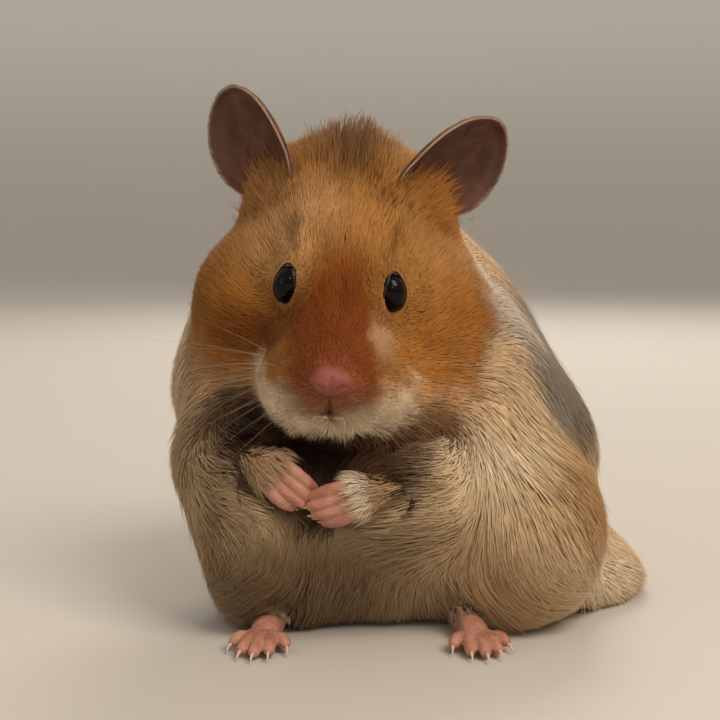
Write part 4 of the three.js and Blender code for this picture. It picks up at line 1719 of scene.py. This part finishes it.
# %% [markdown]
# ## The coat
# Tufts are scattered over the skin, and sorted into pieces by the part of the body that they grow on: face,
# head, chest, flanks and so on. Tufts on the face are short and fine, and those on the body longer. The
# heights of their tips vary from close to the skin up to the outline of the solids.

# %% The parts of the coat
REGIONS = {
    "coat_nape": (-9, 12, 68),
    "coat_chest": (-11, -26, 32),
    "coat_belly": (-10, -30, 12),
    "coat_flank_left": (26, -8, 40),
    "coat_flank_right": (-36, -4, 38),
    "coat_back": (0, 26, 52),
    "coat_hip_left": (26, -10, 14),
    "coat_hip_right": (-30, -8, 14),
    "coat_rump": (6, 34, 20),
}
QUICK_SHARE = 1.0

scattered = scatter(skin, lambda places: tufts_per_mm2(places) * QUICK_SHARE)
roots, normals, uv = thin_out(scattered, ~bare_places(scattered[0]))
roots_in_head = to_head(roots)
is_head = head_share(roots_in_head) > 0.5
is_face = is_head & (roots_in_head[:, 1] > 3)
anchors = np.array(list(REGIONS.values()), float) * MM
nearest = np.argmin(np.linalg.norm(roots[:, None] - anchors[None], axis=2), axis=1)
coat_parts = {"coat_face": is_face, "coat_head": is_head & ~is_face}
coat_parts |= {name: ~is_head & (nearest == i) for i, name in enumerate(REGIONS)}
print("tufts:", len(roots))

# %% The coat on the skin
LOCKS = (0.06, 0.20)
for name, chosen in coat_parts.items():
    place, facing = roots[chosen], normals[chosen]
    number = len(place)
    ways = lie_of_coat(place, facing)
    lengths = hair_length_mm(place) * rng.uniform(0.65, 1.25, number)
    heights = coat_depth_mm(place) * rng.uniform(0.55, 1.0, number)
    widths = np.clip(0.105 + 0.019 * lengths, 0.13, 0.25) * rng.uniform(0.75, 1.25, number)
    slot = "coat_gold" if name in ("coat_face", "coat_head") else "coat_cream"
    scattered = (place, facing, uv[chosen])
    grow(name, skin_surface, scattered, ways, lengths, heights, widths, LOCKS, slot, coat_fur)
print("coat:", sum(counted), "triangles")

# %% [markdown]
# ## Wisps
# A few longer, finer hairs stand out of the coat: a dark crest between the ears, and stray guard hairs
# everywhere, which soften the outline.

# %% Crest and guard hairs
def guard_density(places):
    in_head = to_head(places)
    crest = step(in_head[:, 2], 13, 18) * step(np.abs(in_head[:, 0]), 12, 7) * step(in_head[:, 1], 4, -2)
    return (0.28 + 3.0 * crest * head_share(in_head)) * step(places[:, 2] / MM, 1, 4)


scattered = scatter(skin, guard_density)
scattered = thin_out(scattered, ~bare_places(scattered[0]))
place, facing = scattered[0], scattered[1]
in_head = to_head(place)
crest = step(in_head[:, 2], 13, 17) * head_share(in_head)
ways = lie_of_coat(place, facing)
lengths = hair_length_mm(place) * rng.uniform(0.9, 1.3, len(place)) * (1 + 0.25 * crest)
crest_height = rng.uniform(0.2, 4.0, len(place)) * np.exp(-((in_head[:, 0] / 5) ** 2))
heights = coat_depth_mm(place) * rng.uniform(1.0, 1.3, len(place)) + crest * crest_height
widths = np.full(len(place), 0.10)
grow("guard_hairs", skin_surface, scattered, ways, lengths, heights, widths, None, "coat_gold", coat_fur)

# %% [markdown]
# ## Wisps that stand free
# Some hairs don't lie along the skin at all: those on the crown between the ears, and those in front of
# each ear that half cover its opening. They run straight from their roots and droop a little at the tip.


# %% Growing wisps
def grow_free(name, scattered, ways, lengths_mm, widths_mm, material, droop=0.12):
    """Tufts that leave the skin in a straight line and only droop a little."""
    roots, normals, uv = scattered
    lengths = (lengths_mm * MM)[:, None]
    ways = unit(ways + rng.normal(0, 0.10, ways.shape))
    bends = roots + ways * lengths * BEND_AT + normals * lengths * 0.06
    tips = roots + ways * lengths - np.array([0, 0, 1]) * lengths * droop
    facing = unit(normals + [0, -0.4, 0.3])
    made = build_tufts(name, roots, normals, uv, bends, tips, facing, facing, widths_mm * MM)
    finish_coat(made, material)


print("wisps are lit from above and in front")


# %% Wisps on the crown
def crown_density(places):
    in_head = to_head(places)
    along = step(in_head[:, 1], 3, -2) * step(in_head[:, 1], -18, -13)
    return 5.0 * step(np.abs(in_head[:, 0]), 7.5, 3) * step(in_head[:, 2], 13, 17) * along


scattered = scatter(skin, crown_density)
number = len(scattered[0])
ways = np.array([0, -0.75, 0.75]) + rng.normal(0, 0.2, (number, 3))
ways[:, 0] += 0.04 * to_head(scattered[0])[:, 0]
lengths, widths = drawn(number, (2.5, 6.5), (0.07, 0.12))
grow_free("crown_wisps", scattered, ways @ HEAD_AXES, lengths, widths, coat_fur)

# %% Wisps in front of the ears
WISP_REACH_MM = {"left": 13, "right": 9}
for side, mirror in SIDES.items():

    def ear_place(places):
        return (to_head(places) * [mirror, 1, 1] - EAR_BASES_MM[side]) @ ear_axes(side).T

    def front_of_ear(places):
        across, through, up = ear_place(places).T
        share = step(through, -2.5, -0.5) * step(through, 7, 4) * step(across, 3.5, 0.5)
        share *= step(-across, WISP_REACH_MM[side] + 2, WISP_REACH_MM[side] - 1)
        return 9.0 * share * step(up, -5, -2) * step(up, 9, 6)

    scattered = scatter(skin, front_of_ear)
    across, through, up = ear_place(scattered[0]).T
    ways = np.column_stack([0.05 * across, 0.05 + 0.05 * through, np.ones(len(up))])
    ways += rng.normal(0, 0.12, ways.shape)
    ways = (ways @ ear_axes(side) * [mirror, 1, 1]) @ HEAD_AXES
    lengths, widths = drawn(len(up), (2.5, 6.5), (0.08, 0.13))
    grow_free(f"ear_wisps_{side}", scattered, ways, lengths, widths, coat_fur)

# %% [markdown]
# ## Down on the ears
# The ears carry a sparse dark down inside, a soft tan nap behind, and a fringe of pale hairs on the rim,
# which catches the light. All three are grown from one set of roots, sorted by where on the ear they are.

# %% Down on the ears
RIM_FROM = 0.95
INNER_SHARE = 0.3
inner_down = coat_material("inner ear down", ("5d4234", "7d6254"))
outer_down = coat_material("outer ear down", ("7d5c3e", "a27f57"))
rim_fringe = coat_material("ear rim", ("8f7765", "ad9684"))


for side, ear in ears.items():
    unwrap(ear)
    surface = surface_of(ear)
    scattered = scatter(ear, even(15.0))
    across, _, up = in_ear(scattered[0], side)
    edge = np.hypot(across, up)
    base = from_ear(np.zeros((1, 3)), side)
    sideways, forwards, upwards = (unit(from_ear(axis[None], side) - base) for axis in np.eye(3))
    radial = unit(upwards * up[:, None] + sideways * across[:, None])
    on_rim = edge > RIM_FROM
    inside = scattered[1] @ forwards[0] > 0
    sparse = inside & ~on_rim & (rng.random(len(edge)) < INNER_SHARE)
    kinds = {
        # name: (which roots, way, length, height, width, material)
        f"ear_rim_{side}": (on_rim, radial, 0.55, 0.22, 0.045, rim_fringe),
        f"ear_nap_{side}": (~inside & ~on_rim, upwards + 0.3 * radial, 1.6, 0.30, 0.12, outer_down),
        f"ear_down_{side}": (sparse, 0.5 * upwards + radial, 1.7, 0.35, 0.07, inner_down),
    }
    for name, (keep, way, length, height, width, material) in kinds.items():
        chosen = thin_out(scattered, keep)
        spread = rng.uniform(0.7, 1.3, len(chosen[0]))
        sizes = (length * spread, height * spread, width * spread)
        grow(name, surface, chosen, along_skin(way[keep], chosen[1]), *sizes, None, "ear_skin", material)

# %% [markdown]
# ## Down on the paws, tail and feet
# Short pale hairs cover the backs of the paws and feet. At each wrist the coat ends in a sleeve of longer
# cream fur, with a white fringe on the left. The sleeve grows partly from the forearm's own skin and partly
# from the skin of the body round it, whose wisps are aimed at the back of the paw.

# %% Materials of the down, and roots that share one direction
paw_down = coat_material("paw down", ("bd9c84", "dcc6b1"))
fringe_fur = coat_material("white fringe", ("cbb497", "ead9c2"))
sleeve_fur = coat_material("cream sleeve", ("a08362", "c2a37c"))


def roots_with_way(obj, along, per_mm2):
    """Roots on a paw, foot or tail, and the same direction for each."""
    scattered = scatter(obj, even(per_mm2))
    return scattered, np.tile(along, (len(scattered[0]), 1))


print("down materials:", paw_down.name, fringe_fur.name, sleeve_fur.name)

# %% Fur on a forepaw
SLEEVE_SIZES_MM = ((1.8, 3.6), (0.3, 1.4), (0.10, 0.15))
DOWN_SIZES_MM = ((0.5, 0.9), (0.08, 0.16), (0.05, 0.07))
HAND_FROM_MM = 0.4
HAND_DOWN_SHARE = 0.25


def paw_fur(side, paw, wrist, axes):
    """A sleeve at the wrist, with a fringe on the left paw, and down on the back of the hand."""
    unwrap(paw)
    surface = surface_of(paw)
    scattered, way = roots_with_way(paw, axes[0], 22.0)
    forwards = ((scattered[0] / MM - wrist) @ axes.T)[:, 0]
    facing_out = scattered[1] @ axes[2]
    on_hand = forwards >= HAND_FROM_MM
    fringe = ~on_hand & (forwards > -1.8) & (facing_out > -0.7) & (side == "left")
    sleeve = ~on_hand & (forwards > -8) & (facing_out > -0.7) & ~fringe
    sparse = rng.random(len(way)) < HAND_DOWN_SHARE
    kinds = {
        # name: (which roots, limits of the lengths, heights and widths, material)
        f"sleeve_{side}": (sleeve, SLEEVE_SIZES_MM, sleeve_fur),
        f"fringe_{side}": (fringe, SLEEVE_SIZES_MM, fringe_fur),
        f"down_forepaw_{side}": (
            on_hand & (forwards < 5.5) & (facing_out > -0.1) & sparse,
            DOWN_SIZES_MM,
            paw_down,
        ),
    }
    for name, (keep, limits, material) in kinds.items():
        if keep.any():
            sizes = drawn(int(keep.sum()), *limits)
            chosen = thin_out(scattered, keep)
            grow(name, surface, chosen, way[keep], *sizes, None, "coat_cream", material)


print("a sleeve's hairs are", *SLEEVE_SIZES_MM[0], "mm long")


# %% Fur round a wrist, from the skin of the body
def wrist_fur(side, wrist, axes):
    """Wisps aimed at the back of the paw."""

    def round_the_wrist(places):
        local = (places / MM - wrist) @ axes.T
        ring = np.linalg.norm(local[:, 1:], axis=1)
        off_head = 1 - step(head_share(to_head(places)), 0.0, 0.2)
        return 10 * off_head * step(local[:, 0], 2.0, 0.0) * step(local[:, 0], -9, -5) * step(ring, 9, 5.5)

    scattered = scatter(skin, round_the_wrist)
    target = np.array(wrist) + axes[0] * 2.5 + axes[2] * 1.8
    ways = unit(target - scattered[0] / MM) + 1.2 * axes[0] + 0.5 * axes[2]
    lengths, widths = drawn(len(ways), (2.5, 5.5), (0.09, 0.15))
    grow_free(f"wrist_fur_{side}", scattered, ways, lengths, widths, coat_fur, 0.04)


for side, paw in paws.items():
    wrist, pointing, above = FOREPAWS[side]
    axes = paw_axes(pointing, above)
    paw_fur(side, paw, wrist, axes)
    wrist_fur(side, wrist, axes)
print("forepaws have their fur")

# %% Down on the tail
unwrap(tail)
tail_way = unit(np.array(tail_path[-1] - tail_path[0]))
scattered, way = roots_with_way(tail, tail_way, 9.0)
sizes = drawn(len(way), (0.8, 1.5), (0.1, 0.3), (0.05, 0.08))
grow("down_tail", surface_of(tail), scattered, way, *sizes, None, "coat_cream", paw_down)

# %% Down on the feet, longer towards the ankle
ANKLE_Y = -24 * MM
BARE_Y = -30 * MM
for side, foot in feet.items():
    unwrap(foot)
    scattered, way = roots_with_way(foot, np.array([0.0, -1.0, -0.1]), 7.0)
    upper = scattered[1][:, 2] > 0.2
    chosen = thin_out(scattered, upper)
    longer = step(chosen[0][:, 1], BARE_Y, ANKLE_Y)
    spread = rng.uniform(0.7, 1.3, len(longer))
    sizes = ((0.7 + 3.0 * longer) * spread, (0.12 + 0.7 * longer) * spread, 0.06 + 0.10 * longer)
    grow(f"down_foot_{side}", surface_of(foot), chosen, way[upper], *sizes, None, "coat_cream", paw_down)

# %% [markdown]
# ## Whiskers
# Long stiff hairs grow in rows from the pads beside the nose. Each is a thin tapered tube that bends down a
# little under its own weight. Tubes are used instead of tufts, because a whisker is round and stands alone.

# %% Whiskers
WHISKER_ROWS, WHISKER_COLUMNS = 5, 5
WHISKER_RADIUS_MM = 0.028
whisker_material = two_tone_material("whisker", {"Roughness": 0.4}, "86705a", "cfbda6", 120.0)
for side, mirror in SIDES.items():
    strands = []
    for row, column in itertools.product(range(WHISKER_ROWS), range(WHISKER_COLUMNS)):
        root = np.array([4.2 + 1.1 * column, 24.8 - 1.5 * column, -5.4 - 0.95 * row]) + rng.normal(0, 0.25, 3)
        way = unit(np.array([1.0, 0.30 - 0.16 * column, 0.20 - 0.24 * row]) + rng.normal(0, 0.10, 3))
        length = rng.uniform(12, 25) * (0.75 + 0.08 * column)
        droop = rng.uniform(0.10, 0.30)
        t = np.linspace(0, 1, 9)[:, None]
        curve = root + length * (way * t + np.array([0, -0.12, -droop]) * t * t)
        path = from_head(curve * [mirror, 1, 1])
        strands.append(tube("strand", path, WHISKER_RADIUS_MM * MM * (1 - 0.85 * t[:, 0]), 4))
    whiskers = join_parts(f"whiskers_{side}", strands)
    whiskers.data.materials.append(whisker_material)
    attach(whiskers, "root")
    print(whiskers.name, len(strands), "hairs")

# %% Two long pale hairs below the left ear
LONG_HAIRS_MM = [
    [(9.0, -12.0, 64.6), (13.0, -12.5, 62.5), (17.0, -14.0, 57.8)],
    [(9.2, -12.5, 64.4), (12.0, -13.5, 65.6), (10.8, -14.0, 63.6)],
]
strands = []
for points in LONG_HAIRS_MM:
    path = curve_through(np.array(points) * MM, 11)
    strands.append(tube("strand", path, np.linspace(0.06, 0.02, len(path)) * MM, 4))
long_hairs = join_parts("ear_hairs_left", strands)
long_hairs.data.materials.append(whisker_material)
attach(long_hairs, "root")
print(long_hairs.name, len(strands), "hairs")

# %% [markdown]
# ## The end
# The last line brings the view layer up to date.

# %% The end
bpy.context.view_layer.update()
